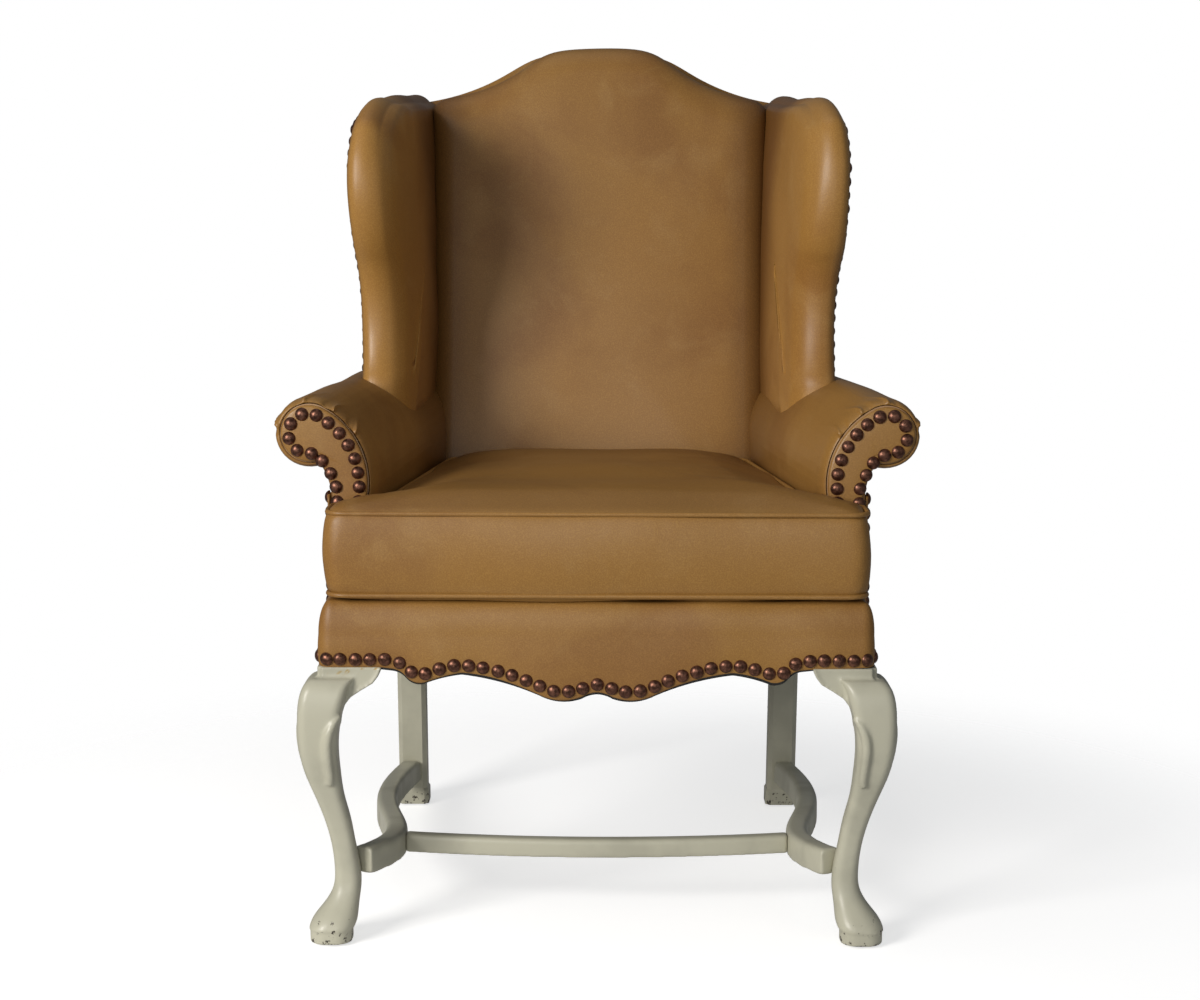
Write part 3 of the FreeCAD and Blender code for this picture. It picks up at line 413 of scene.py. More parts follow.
def grain_group():
    """Fine leather grain as a height: closed pores and a soft unevenness."""
    tree, inward, outward = group_tree("leather grain", [
        ("Vector", VECTOR, None), ("Grain Size", VALUE, 0.0012)], [("Height", VALUE), ("Pores", VALUE)])
    source = inward.outputs
    wobble = add(tree, "ShaderNodeTexNoise", {"Vector": source["Vector"], "Scale": 60.0, "Detail": 2.0})
    bent = add(tree, "ShaderNodeVectorMath", {0: wobble.outputs["Color"], "Scale": 0.004}, operation="SCALE")
    where = add(tree, "ShaderNodeVectorMath", {0: source["Vector"], 1: bent.outputs[0]}, operation="ADD")
    scale = maths(tree, "DIVIDE", 1.0, source["Grain Size"])
    cells = add(tree, "ShaderNodeTexVoronoi", {"Vector": where.outputs[0], "Scale": scale},
                feature="SMOOTH_F1")
    pores = ramp(tree, cells.outputs["Distance"], 0.15, 0.75)
    height = maths(tree, "MULTIPLY_ADD", clouds(tree, source["Vector"], 240.0, 4.0), 0.6, pores)
    connect(tree, outward, {"Height": height, "Pores": pores})
    return tree


def wear_group():
    """Chipped and rubbed places as masks, the chips only near the floor."""
    tree, inward, outward = group_tree("paint wear", [
        ("Vector", VECTOR, None), ("Chip Scale", VALUE, 120.0), ("Low Height", VALUE, 0.03)],
        [("Chips", VALUE), ("Rub", VALUE)])
    source = inward.outputs
    place = add(tree, "ShaderNodeSeparateXYZ", {"Vector": source["Vector"]})
    near = maths(tree, "DIVIDE", place.outputs["Z"], source["Low Height"])
    low = add(tree, "ShaderNodeMapRange", {"Value": near, "From Min": 0.2, "From Max": 1.6, "To Min": 0.16,
                                           "To Max": 0.0})
    spots = clouds(tree, source["Vector"], source["Chip Scale"], 7.0, 0.72)
    reach = maths(tree, "ADD", spots, low.outputs["Result"])
    slow = clouds(tree, source["Vector"], 14.0, 5.0)
    connect(tree, outward, {"Chips": ramp(tree, reach, 0.705, 0.730), "Rub": ramp(tree, slow, 0.42, 0.66)})
    return tree


def use_group(tree, name, make, sockets):
    node = add(tree, "ShaderNodeGroup")
    node.node_tree = bpy.data.node_groups.get(name) or make()
    return connect(tree, node, sockets).outputs


def blank_material(name):
    """A material with its Principled shader and its Object coordinates."""
    material = bpy.data.materials.new(name)
    material.use_nodes = True
    tree = material.node_tree
    shader = tree.nodes["Principled BSDF"]
    where = add(tree, "ShaderNodeTexCoord").outputs["Object"]
    return material, tree, shader, where


def scaled(colour, k=1.0):
    """A colour made darker or paler, with full opacity."""
    return (colour[0] * k, colour[1] * k, colour[2] * k, 1.0)


def leather_material(name, paler=1.0, shift=(0.0, 0.0, 0.0)):
    """Aniline leather: rubbed clouds, painted shade darkening it where a mask on the points says, pores and a
    soft sheen. Paler above 1 paints the whole leather lighter.
    """
    colours = bpy.context.scene.chair_colours
    material, tree, shader, where = blank_material(name)
    moved = add(tree, "ShaderNodeVectorMath", {0: where, 1: shift}, operation="ADD").outputs[0]
    dye = use_group(tree, "dye clouds", dye_group, {
        "Vector": moved, "Scale": 4.6, "Strength": 0.5, "Ground": scaled(colours.leather, paler),
        "Dark": scaled(colours.leather_dark, paler), "Pale": scaled(colours.leather_pale, paler)})
    # Painted shade: the dye colour darkened toward a deep leather tone where the points' shade mask is set.
    painted_shade_colour = colour_mix(tree, mask(tree, "painted_shade"), dye["Color"], scaled(colours.leather_dark, 0.62 * paler))
    grain = use_group(tree, "leather grain", grain_group, {"Vector": where, "Grain Size": 0.0013})
    connect(tree, shader, {"Base Color": colour_mix(tree, 0.16, painted_shade_colour, grain["Pores"], "SOFT_LIGHT"),
                           "Specular IOR Level": 0.5})
    set_roughness(tree, shader, dye["Cloud"], 0.36, 0.50, 0.3, 0.7)
    set_relief(tree, shader, grain["Height"], 0.10, 0.0006)
    return material


def paint_material(name):
    """Greige paint on carved wood: brushed, rubbed, with traces of gilt and dark chips near the floor."""
    colours = bpy.context.scene.chair_colours
    material, tree, shader, where = blank_material(name)
    wear = use_group(tree, "paint wear", wear_group, {
        "Vector": where, "Chip Scale": 130.0, "Low Height": 0.035})
    rubbed = colour_mix(tree, wear["Rub"], scaled(colours.paint, 1.06), scaled(colours.paint, 0.90))
    chipped = colour_mix(tree, wear["Chips"], rubbed, (0.030, 0.020, 0.014, 1.0))
    gilded = colour_mix(tree, mask(tree, "gilt"), chipped, (0.430, 0.285, 0.070, 1.0))
    connect(tree, shader, {"Base Color": gilded})
    set_roughness(tree, shader, wear["Rub"], 0.34, 0.46)
    brushed = maths(tree, "MULTIPLY_ADD", wear["Chips"], -0.9, clouds(tree, where, 55.0, 4.0))
    set_relief(tree, shader, brushed, 0.18, 0.0012)
    return material


def nail_material(name):
    """Antique bronze: dark patina with rubbed copper crowns."""
    colours = bpy.context.scene.chair_colours
    material, tree, shader, where = blank_material(name)
    patina = clouds(tree, where, 210.0, 5.0, 0.65)
    rubbed = ramp(tree, patina, 0.35, 0.7)
    tone = colour_mix(tree, rubbed, scaled(colours.nail, 0.8), scaled(colours.nail, 2.3))
    connect(tree, shader, {"Base Color": tone, "Metallic": 0.85})
    set_roughness(tree, shader, patina, 0.28, 0.44, 0.3, 0.7)
    set_relief(tree, shader, patina, 0.12, 0.0008)
    return material


def plain_material(name, colour, other, scale, roughness, metallic=0.0, stretch=(1.0, 1.0, 1.0)):
    """Hidden pieces' finish: two tones in a grain, with a little relief."""
    material, tree, shader, where = blank_material(name)
    along = add(tree, "ShaderNodeMapping", {"Vector": where, "Scale": stretch}).outputs[0]
    grain = clouds(tree, along, scale, 6.0, 0.6)
    tone = colour_mix(tree, ramp(tree, grain, 0.35, 0.65), scaled(colour), scaled(other))
    connect(tree, shader, {"Base Color": tone, "Metallic": metallic})
    set_roughness(tree, shader, grain, roughness - 0.06, roughness + 0.06)
    set_relief(tree, shader, grain, 0.2, 0.0008)
    return material


def cloth_material(name, colour, other, thread):
    """Woven cloth: crossing threads of two tones."""
    material, tree, shader, where = blank_material(name)
    threads = {"Vector": where, "Scale": 1.0 / thread / 6.3, "Distortion": 0.6}
    warp, weft = [add(tree, "ShaderNodeTexWave", threads, bands_direction=direction).outputs["Fac"]
                  for direction in "XY"]
    weave = maths(tree, "MULTIPLY", warp, weft)
    connect(tree, shader, {"Base Color": colour_mix(tree, weave, scaled(colour), scaled(other))})
    set_roughness(tree, shader, weave, 0.85, 0.95)
    set_relief(tree, shader, weave, 0.4, 0.0008)
    return material


FINISHES = {
    "leather": (leather_material,),
    "painted_wood": (paint_material,),
    "nail_bronze": (nail_material,),
    "frame_wood": (plain_material, (0.46, 0.29, 0.15), (0.36, 0.21, 0.10), 60.0, 0.6, 0.0, (1.0, 1.0, 0.15)),
    "spring_steel": (plain_material, (0.30, 0.30, 0.31), (0.20, 0.20, 0.21), 90.0, 0.35, 1.0),
    "padding": (plain_material, (0.75, 0.70, 0.58), (0.66, 0.60, 0.48), 300.0, 0.9),
    "glide": (plain_material, (0.06, 0.055, 0.05), (0.04, 0.04, 0.035), 200.0, 0.5),
    "webbing": (cloth_material, (0.33, 0.24, 0.12), (0.20, 0.14, 0.06), 0.0022),
    "lining": (cloth_material, (0.010, 0.010, 0.010), (0.022, 0.022, 0.022), 0.0012),
}


def slot_material(slot):
    """The material of one of the record's slots, made once."""
    make, *looks = FINISHES[slot]
    name = slot + " finish"
    return bpy.data.materials.get(name) or make(name, *looks)


def finish_in(obj, body, slot, *nodes):
    """A finished piece in its slot's own material."""
    return finish_piece(obj, body, slot_material(slot), nodes)


# Posts and rails that the covers follow


RAIL_TOP, RAIL_FOOT = 412.0, 340.0
POST_FOOT, POST_HEAD, POST_DEEP = (213.0, RAIL_TOP), (329.8, 985.0), 40.0
BACK_RAIL, LEG_RAKE = 240.0, 50.0
BACK_LOW, BACK_HIGH = (166.0, 440.0), (292.0, 1087.0)


def post_front(z):
    """Front of the raked rear post at height z."""
    (y0, z0), (y1, z1) = POST_FOOT, POST_HEAD
    return y0 + (z - z0) * (y1 - y0) / (z1 - z0)


def post_back(z):
    return post_front(z) + POST_DEEP


def post_back_low(z):
    """Back of the rear post, also at the rail and down to the floor."""
    if z < RAIL_FOOT:
        return BACK_RAIL + LEG_RAKE * (RAIL_FOOT - z) / RAIL_FOOT
    if z < RAIL_TOP:
        return mix(BACK_RAIL, post_back(RAIL_TOP), (z - RAIL_FOOT) / (RAIL_TOP - RAIL_FOOT))
    return post_back(z)


def inside_back(z):
    """Face of the inside back at height z."""
    (y0, z0), (y1, z1) = BACK_LOW, BACK_HIGH
    return y0 + (y1 - y0) * (z - z0) / (z1 - z0)


# Arms


ARM_FRONT, ARM_REAR, ARM_FOOT = -281.0, 262.0, 396.0
ARM_INNER = (271.0, 207.0)
ARM_TAIL = (320.0, 291.0)
ROLL_X, ROLL_Z, ROLL_RADIUS = (343.0, 287.0), (600.0, 612.0), (38.0, 28.0)
ARM_STUFFING = 5.0


def arm_share(y):
    """0 at the front of the arm and 1 at its rear."""
    return (y - ARM_FRONT) / (ARM_REAR - ARM_FRONT)


def arm_line(t, shrink=0.0, count=12):
    """Section of the right arm as (x, z): up its inner side, over the lobe and down to the tail."""
    inner = mix(*ARM_INNER, t) - ARM_STUFFING + shrink
    tail = mix(*ARM_TAIL, t) - shrink / 2
    x, z, r = mix(*ROLL_X, t), mix(*ROLL_Z, t), mix(*ROLL_RADIUS, t) + ARM_STUFFING - shrink

    def polar(a):
        return x + r * math.cos(math.radians(a)), z + r * math.sin(math.radians(a))

    shoulder, neck, low = polar(115), polar(-108), z - 74.0
    bend = (mix(inner, shoulder[0], 0.30), mix(low, shoulder[1], 0.68))
    hollow = (mix(tail, neck[0], 0.42), mix(low, neck[1], 0.62))
    return path((inner, ARM_FOOT), [(inner, low), (bend, shoulder), (polar(62), polar(5)), (polar(-52), neck),
                                    (hollow, (tail, low)), (tail, ARM_FOOT)], count)


def arm_rows(ys, shrinks, count=170):
    rows = []
    for y, shrink in zip(ys, shrinks):
        line = resample(arm_line(arm_share(y), shrink), count)
        rows.append(np.stack([line[:, 0], np.full(count, y), line[:, 1]], axis=1))
    return np.array(rows)


PLEATS = ((0.366, 1.0), (0.430, 1.15), (0.486, 0.9), (0.560, 0.9))


def pleat_grooves(rows, front_rows, depth, seed):
    """Gathers of leather round the roll's front edge: narrow grooves that fan out and fade along the arm."""
    rng = np.random.default_rng(seed)
    count = rows.shape[1]
    s = np.linspace(0, 1, count)
    normals = line_normals(rows)
    moved = rows.copy()
    for place, weight in PLEATS:
        place += rng.uniform(-0.008, 0.008)
        lean, reach = rng.uniform(-0.03, 0.03), rng.uniform(15.0, 24.0)
        for i in range(len(rows)):
            run = max(rows[i, 0, 1] - ARM_FRONT, -4.0)
            fade = math.exp(-max(run, 0.0) / reach) * min(1.0, (i + 1) / front_rows)
            wide = 0.0034 + 0.00006 * max(run, 0.0)
            groove = np.exp(-((s - place - lean * run / 60) / wide) ** 2)
            swell = np.exp(-((s - place - 0.018 - lean * run / 60) / (wide * 1.7)) ** 2)
            moved[i] += normals[i] * ((swell * 0.4 - groove) * depth * weight * fade)[:, None]
    return moved


def line_normals(rows):
    """Outward normals of a grid of points whose columns run clockwise round the form."""
    along = np.gradient(rows, axis=1)
    down = np.gradient(rows, axis=0)
    n = np.cross(down, along)
    n /= np.maximum(np.linalg.norm(n, axis=2, keepdims=True), 1e-6)
    return n


class ARMCHAIR_OT_arms(bpy.types.Operator):
    """Rolled arms: their covers, gathered over the front edge, and the facings inside it"""
    bl_idname = "armchair.arms"
    bl_label = "Arms and facings"

    def execute(self, context):
        for side_name, side in SIDES:
            self.cover(side_name, side, context.scene.chair_sizes.pleat_depth / MM)
            self.facing(side_name, side)
        return {"FINISHED"}

    def cover(self, side_name, side, pleat_depth):
        """The leather over the arm, drawn in at its front edge and cut off at the rear post."""
        turn = np.radians(np.linspace(88, 0, 16))
        ys = ARM_FRONT + np.concatenate([26 - 27.0 * np.sin(turn), np.linspace(29, 75, 16),
                                         np.linspace(88, ARM_REAR - ARM_FRONT + 58, 18)])
        shrinks = np.concatenate([7 * (1 - np.cos(turn)), np.zeros(34)])
        rows = pleat_grooves(arm_rows(ys, shrinks, 340), 4, pleat_depth, 11 if side > 0 else 12)
        behind = [[post_back_low(z) - 1.5 for z in row] for row in rows[:, :, 2]]
        rows[:, :, 1] = np.minimum(rows[:, :, 1], behind)
        front = rows[0].copy()
        front[:, 1] = ARM_FRONT + 6
        rows = np.concatenate([front[None], rows])
        obj = ring_solid("arm_cover_" + side_name + "_visual", mirror_points(rows, side))
        soften(obj, 150.0, 1.3, 31 if side > 0 else 32)
        at = mesh_points(obj)
        # Painted shade: the arm's leather darker toward its rear and lower down its sides.
        deep = ease((at[:, 1] + 60.0) / 180.0) * 0.6 + ease((545.0 - at[:, 2]) / 40.0) * 0.4
        paint_mask(obj, "painted_shade", np.clip(deep, 0.0, 0.9))
        finish_in(obj, CHAIR, "leather", "arm_cover_" + side_name, "arm_pad_" + side_name)

    def facing(self, side_name, side):
        """The flat panel on the arm's front, slightly crowned."""
        plate = arm_rows([ARM_FRONT] * 7, [9.2, 9.2, 10, 12, 16, 23, 31])
        for row, out in zip(plate, (-4.0, 3.6, 4.8, 5.6, 6.4, 7.0, 7.3)):
            row[:, 1] = ARM_FRONT - out
        face = ring_solid("arm_facing_" + side_name + "_visual", mirror_points(plate, side))
        soften(face, 90.0, 0.5, 41 if side > 0 else 42)
        finish_in(face, CHAIR, "leather", "arm_facing_" + side_name)


# Wings


WING_ARCS = (((-22, 640), (1, 712), (-20, 796)), ((-20, 796), (-56, 905), (-33, 975)),
             ((-33, 975), (18, 999), (100, 1009)))
WING_TOP, WING_FOOT, WING_THICK, WING_AT = 1020.0, 590.0, 58.0, 286.0
WING_DOME, WING_FLARE, WING_LEAN, WING_PIVOT = 9.0, math.radians(4.8), math.radians(2.0), 700.0
WING_ROUND = ((0.0, 9.0), (5.0, 3.5), (14.0, 0.0), (22.0, 0.4), (32.0, 4.0), (42.0, 12.0), (50.0, 24.0),
              (56.0, 42.0), (59.0, 62.0))
WING_MIDDLE = (130.0, 800.0)


def wing_line(k, count):
    """Closed side profile of the wing as (y, z), drawn in by k at its front and top."""
    (a0, am, a1), (_, bm, b1), (_, cm, c1) = WING_ARCS
    drop = min(k, 10.0 + 0.22 * (k - 10.0))
    steps = [(a0[0] + k, a0[1]), ((am[0] + k, am[1]), (a1[0] + k * 0.9, a1[1])),
             ((bm[0] + k, bm[1]), (b1[0] + k * 0.9, b1[1] - drop)),
             ((cm[0] + k * 0.5, cm[1] - drop), (c1[0] + k * 0.2, c1[1] - drop)),
             (post_back(WING_TOP), WING_TOP - drop), (post_back(WING_FOOT), WING_FOOT),
             (a0[0] + k, WING_FOOT)]
    return resample(path((a0[0] + k, WING_FOOT), steps, 16), count + 1)[:-1]


def rotated(u, v, angle):
    return u * math.cos(angle) - v * math.sin(angle), u * math.sin(angle) + v * math.cos(angle)


def wing_place(points, side):
    """From the wing's own frame, its top domed inward a little, to its flared, leaning place."""
    points = np.array(points, float)
    reach = np.clip(1.0 + points[..., 0] / WING_THICK, 0.0, 1.15)
    points[..., 0] -= WING_DOME * ease((points[..., 2] - 915.0) / 110.0) * reach
    pivot = np.array([0.0, post_front(WING_PIVOT), WING_PIVOT])
    x, y, z = np.moveaxis(points - pivot, -1, 0)
    x, y = rotated(x, y, WING_FLARE)
    x, z = rotated(x, z, -WING_LEAN)
    return mirror_points(np.stack([x, y, z], axis=-1) + pivot + np.array([WING_AT, 0.0, 0.0]), side)


def wing_rings(levels, count=180):
    return np.array([np.column_stack([np.full(count, -x), wing_line(k, count)]) for x, k in levels])


def wing_face(ring, shares, start, rise):
    """Rings from one ring of the wing toward its middle, rising from the start as a crown does."""
    made = []
    for s in shares:
        drawn = ring + (np.array([0.0, *WING_MIDDLE]) - ring) * s
        drawn[:, 0] = start + rise * (1 - (1 - s) ** 2)
        made.append(drawn)
    return np.array(made)


class ARMCHAIR_OT_wings(bpy.types.Operator):
    """Padded wings and the panels on their outsides"""
    bl_idname = "armchair.wings"
    bl_label = "Wings"

    def execute(self, context):
        # Painted light: the wings and their outside panels get a copy of the leather made 1.22 times paler,
        # standing in for the key light on them.
        leather = leather_material("leather of the wings, painted lighter", 1.22, (0.4, 0.2, 0.7))
        depth, inset = np.array(WING_ROUND).T
        at = np.linspace(0, 1, 30) ** 0.8 * WING_ROUND[-1][0]
        levels = [(4.6, 14.0), (1.8, 11.5)] + list(zip(at, np.maximum(spline(depth, inset, at), 0)))
        for side_name, side in SIDES:
            rings = wing_rings(levels)
            rings = np.concatenate([rings, wing_face(rings[-1], np.linspace(0.08, 0.92, 9), -at[-1], -7.0)])
            obj = ring_solid("wing_cover_" + side_name + "_visual", wing_place(rings, side))
            soften(obj, 170.0, 1.6, 51 if side > 0 else 52)
            at_points = mesh_points(obj)
            # Painted shade: the wing's inner face darker toward its rear, where it meets the back.
            inside = np.abs(at_points[:, 0]) < 292.0
            paint_mask(obj, "painted_shade", 0.9 * ease((at_points[:, 1] - 95.0) / 130.0) * inside)
            finish_piece(obj, CHAIR, leather, ("wing_cover_" + side_name, "wing_pad_" + side_name))

            panel = wing_rings(((4.4, 12.0), (2.2, 12.0)))
            panel = np.concatenate([panel, wing_face(panel[1], (0.03, 0.10, 0.25, 0.5, 0.8), -2.0, 1.8)])
            outer = ring_solid("outside_wing_cover_" + side_name + "_visual", wing_place(panel, side))
            finish_piece(outer, CHAIR, leather, ("outside_wing_cover_" + side_name,))
        return {"FINISHED"}


# Back


CREST = (((0, 1087), (34, 1086.5), (66, 1083.5)), ((66, 1083.5), (84, 1076), (101, 1062.5)),
         ((101, 1062.5), (158, 1029), (236, 1012)))
CREST_ROUND = ((0.0, 30.0), (2.6, 21.0), (6.5, 13.4), (11.0, 8.0), (16.0, 4.4), (22.0, 1.8), (30.0, 0.0),
               (45.0, 0.0), (60.0, 0.0), (94.0, 0.0))
OUTSIDE_BACK_ROUND = ((1.0, -0.5), (1.0, 2.0), (0.985, 2.4), (0.95, 2.8), (0.85, 3.4), (0.6, 4.2), (0.3, 4.6))
BACK_HALF, OUTSIDE_BACK_HALF, SIDE_LOW = 236.0, 290.5, 334.0
STRIP_LOW, STRIP_HIGH, STRIP_X = 505.0, 1004.0, 288.6


def crest_line(shrink, half, foot, count):
    """Closed outline of the back as (x, z): crest, side and foot."""
    scale = (half - shrink) / CREST[-1][2][0]
    right = [((m[0] * scale, m[1] - shrink), (b[0] * scale, b[1] - shrink)) for a, m, b in CREST]
    left = [((-m[0] * scale, m[1] - shrink), (-a[0] * scale, a[1] - shrink)) for a, m, b in reversed(CREST)]
    end = CREST[-1][2]
    steps = [(-end[0] * scale, end[1] - shrink)] + left + right
    steps += [(half - shrink, foot), (shrink - half, foot)]
    line = resample(path((shrink - half, foot), steps, 12), count + 1)[:-1]
    for _ in range(7):
        line = (np.roll(line, 1, axis=0) + 2 * line + np.roll(line, -1, axis=0)) / 4
    return line


class ARMCHAIR_OT_back(bpy.types.Operator):
    """Stuffed inside back with its rolled crest, the panel behind it and the strips over the posts"""
    bl_idname = "armchair.back"
    bl_label = "Back"

    def execute(self, context):
        count = 260
        rings = []
        outline = crest_line(30.0, BACK_HALF, RAIL_TOP, count)
        middle = np.array([0.0, 720.0])
        for s in np.linspace(0.04, 0.98, 26):
            line = middle + (outline - middle) * s
            rings.append((line, -9.0 * (1 - s ** 2.4)))
        for shift, shrink in CREST_ROUND:
            rings.append((crest_line(shrink, BACK_HALF, RAIL_TOP, count), shift))
        grid = np.array([np.stack([line[:, 0], inside_back(line[:, 1]) + shift, line[:, 1]], axis=1)
                         for line, shift in rings])
        grid[:, :, 1] = np.minimum(grid[:, :, 1], post_back(grid[:, :, 2]) - 0.5)
        obj = ring_solid("inside_back_cover_visual", grid)
        soften(obj, 190.0, 1.8, 61)
        at = mesh_points(obj)
        # Painted shade: the inside back darker at its sides, where the wings meet it, and toward its foot
        # above the cushion.
        edges, foot = ease((np.abs(at[:, 0]) - 165.0) / 60.0), ease((560.0 - at[:, 2]) / 90.0)
        paint_mask(obj, "painted_shade", 0.75 * edges + 0.35 * foot)
        finish_in(obj, CHAIR, "leather", "inside_back_cover", "back_pad")

        panel = []
        middle = np.array([0.0, 700.0])
        outline = crest_line(4.0, OUTSIDE_BACK_HALF, SIDE_LOW, count)
        outline[:, 1] = np.minimum(outline[:, 1], 1083.0)
        for s, out in OUTSIDE_BACK_ROUND:
            line = middle + (outline - middle) * s
            panel.append(np.stack([line[:, 0], post_back(line[:, 1]) + out, line[:, 1]], axis=1))
        outer = ring_solid("outside_back_cover_visual", panel)
        finish_in(outer, CHAIR, "leather", "outside_back_cover")

        for side_name, side in SIDES:
            strip = []
            for z in np.linspace(STRIP_LOW, STRIP_HIGH, 40):
                y0, y1 = post_front(z) - 16.0, post_back(z) + 1.8
                y = np.concatenate([[y0], np.linspace(y0, y1, 12), [y1]])
                x = np.concatenate([[STRIP_X - 3.6], np.full(12, STRIP_X), [STRIP_X - 4.6]])
                strip.append(np.column_stack([x, y, np.full(14, z)]))
            band = ring_solid("outside_post_cover_" + side_name + "_visual", mirror_points(strip, side))
            finish_in(band, CHAIR, "leather")
        return {"FINISHED"}


# Seat border, panels and deck


SCALLOP = (((0.0, 305.0), (9.0, 303.5), (18.0, 299.5)), ((18.0, 299.5), (41.0, 296.0), (67.0, 303.0)),
           ((67.0, 303.0), (110.0, 318.5), (158.0, 328.0)), ((158.0, 328.0), (182.0, 323.5), (203.0, 316.5)),
           ((203.0, 316.5), (213.0, 317.0), (222.0, 322.5)), ((222.0, 322.5), (229.0, 329.0), (240.0, 332.5)))
BORDER_HALF, BORDER_Y, BORDER_ROUND, PANEL_TOP = 326.0, -368.0, 16.0, 526.0
BORDER_HEM = ((0.6, 1.0), (2.0, 0.0), (4.0, 0.0), (9.6, 1.0))
LINING_HEM = ((1.2, 1.5), (1.0, -1.6), (5.0, -1.6), (5.2, 1.5))


def scallop(x):
    """Height of the border's lower edge at half width x."""
    ends = [(254.0, SIDE_LOW), (400.0, SIDE_LOW)]
    points = path(SCALLOP[0][0], [(m, b) for _, m, b in SCALLOP] + ends, 12)
    return np.interp(np.abs(x), points[:, 0], points[:, 1])


def border_plan(inset):
    """Plan of the border drawn in by inset: left side, corner, front, corner and right side."""
    r, half, y = BORDER_ROUND - inset, BORDER_HALF - inset, BORDER_Y + inset
    front = np.stack([np.linspace(r - half, half - r, 260), np.full(260, y)], axis=1)
    turn = np.radians(np.linspace(-90, 0, 11)[1:])
    corner = np.stack([half - r + r * np.cos(turn), y + r + r * np.sin(turn)], axis=1)
    side = np.stack([np.full(12, half), np.linspace(y + r, ARM_FRONT, 13)[1:]], axis=1)
    right = np.concatenate([corner, side])
    return np.concatenate([right[::-1] * np.array([-1.0, 1.0]), front, right])


def border_row(inset, z):
    plan = border_plan(inset)
    return np.column_stack([plan, np.broadcast_to(z, len(plan))])


class ARMCHAIR_OT_seat_border(bpy.types.Operator):
    """Padded border with the scalloped lower edge, its lining edge and the deck under the cushion"""
    bl_idname = "armchair.seat_border"
    bl_label = "Seat border and deck"

    def execute(self, context):
        self.border()
        self.deck()
        for side_name, side in SIDES:
            self.arm_panel(side_name, side)
        return {"FINISHED"}

    def border(self):
        """The front cover from the deck's edge down to the scallop, and the lining under it."""
        rows = [border_row(14.0 * (1 - math.cos(a)), RAIL_TOP - 40.0 * (1 - math.sin(a)))
                for a in np.radians(np.linspace(90, 0, 14))]
        edge = scallop(border_plan(0.0)[:, 0])
        top = rows[-1][0, 2]
        for s in np.linspace(0, 1, 22)[1:]:
            rows.append(border_row(-math.sin(math.pi * s), top + (edge + 2.0 - top) * s))
        rows += [border_row(inset, edge + drop) for inset, drop in BORDER_HEM]
        back = rows[0].copy()
        back[:, 0] = np.clip(back[:, 0] * 0.97, -300.0, 300.0)
        back[:, 1] = ARM_FRONT
        obj = grid_object("front_border_cover_visual", [back] + rows)
        soften(obj, 110.0, 0.9, 71)
        finish_in(obj, CHAIR, "leather", "front_border_cover", "front_border_pad")
        strip = [border_row(inset, edge + drop) for inset, drop in LINING_HEM]
        finish_in(grid_object("border_lining_visual", strip + strip[:1]), CHAIR, "lining")

    def deck(self):
        """The cloth that the cushion lies on."""
        (_, y0, _), (half, y1, top) = DECK_LOW, DECK_HIGH
        grid = []
        for y in np.linspace(y0, y1, 30):
            x = np.linspace(-1, 1, 40) * np.interp(y, [y0, y1], [half, mix(*ARM_INNER, 0.83) - ARM_STUFFING])
            bow = 1.2 * (1 - np.linspace(-1, 1, 40) ** 2) * math.sin(math.pi * (y - y0) / (y1 - y0))
            grid.append(np.column_stack([x, np.full(40, y), top - 1.0 + bow]))
        deck = grid_object("deck_cover_visual", grid)
        thickened(deck, 0.0016)
        finish_in(deck, CHAIR, "lining", "deck_cover", "deck_pad")

    def arm_panel(self, side_name, side):
        """The crowned panel under an arm's roll, from its facing back to the post."""
        grid = []
        for z in np.linspace(SIDE_LOW, PANEL_TOP, 24):
            y = np.linspace(ARM_FRONT, post_back_low(z) - 2.0, 60)
            s, t = np.linspace(0, 1, 60), np.clip((z - SIDE_LOW) / (PANEL_TOP - SIDE_LOW), 0.0, 1.0)
            crown = 1.8 * np.sin(np.pi * s) ** 0.6 * math.sin(math.pi * t) ** 0.6
            grid.append(np.column_stack([mix(*ARM_TAIL, arm_share(y)) + 2.5 + crown, y, np.full(60, z)]))
        panel = grid_object("outside_arm_cover_" + side_name + "_visual", mirror_points(grid, side))
        thickened(panel, 0.0025)
        finish_in(panel, CHAIR, "leather", "outside_arm_cover_" + side_name)


# Loose cushion


CUSHION_CLEAR, CUSHION_MIDDLE = 6.5, np.array([0.0, -110.0])
SEAM_HEIGHTS = (420.0, 516.0)
CUSHION_PROFILE = (
    (415.0, 30.0), (413.2, 20.0), (413.4, 13.0), (415.6, 8.0), (SEAM_HEIGHTS[0], 5.0), (427.0, 2.0),
    (440.0, 0.4), (455.0, -0.6), (468.0, -1.0), (481.0, -0.6), (496.0, 0.4), (509.0, 2.0),
    (SEAM_HEIGHTS[1], 5.0), (521.0, 10.0), (525.0, 17.0), (528.0, 26.0), (530.5, 38.0))


def cushion_outline(z, k, count):
    """T outline of the cushion at height z, drawn in by k, evenly spaced."""
    y_back = inside_back(min(z, SEAM_HEIGHTS[1])) - 3.0
    xa, xb = [mix(*ARM_INNER, t) - CUSHION_CLEAR - k for t in (0.0, arm_share(y_back))]
    r, x1, y0, y1, ear = 22.0, 319.0 - k, -374.0 + k, y_back - k, -292.5 - k
    m, c, n = r * (1 - math.sqrt(0.5)), 9.0, 2.6
    right = [(x1 - r, y0), ((x1 - m, y0 + m), (x1, y0 + r)),
             (x1, ear - c), ((x1 - n, ear - n), (x1 - c, ear)),
             (xa + c, ear), ((xa + n, ear + n), (xa, ear + c)),
             (xb, y1 - r), ((xb - m, y1 - m), (xb - r, y1)), (0.0, y1)]
    half = resample(path((0.0, y0), right, 10), count // 2 + 1)
    return np.concatenate([half, half[-2:0:-1] * np.array([-1.0, 1.0])])


def outline_row(z, k, count):
    return np.column_stack([cushion_outline(z, k, count), np.full(count, z)])


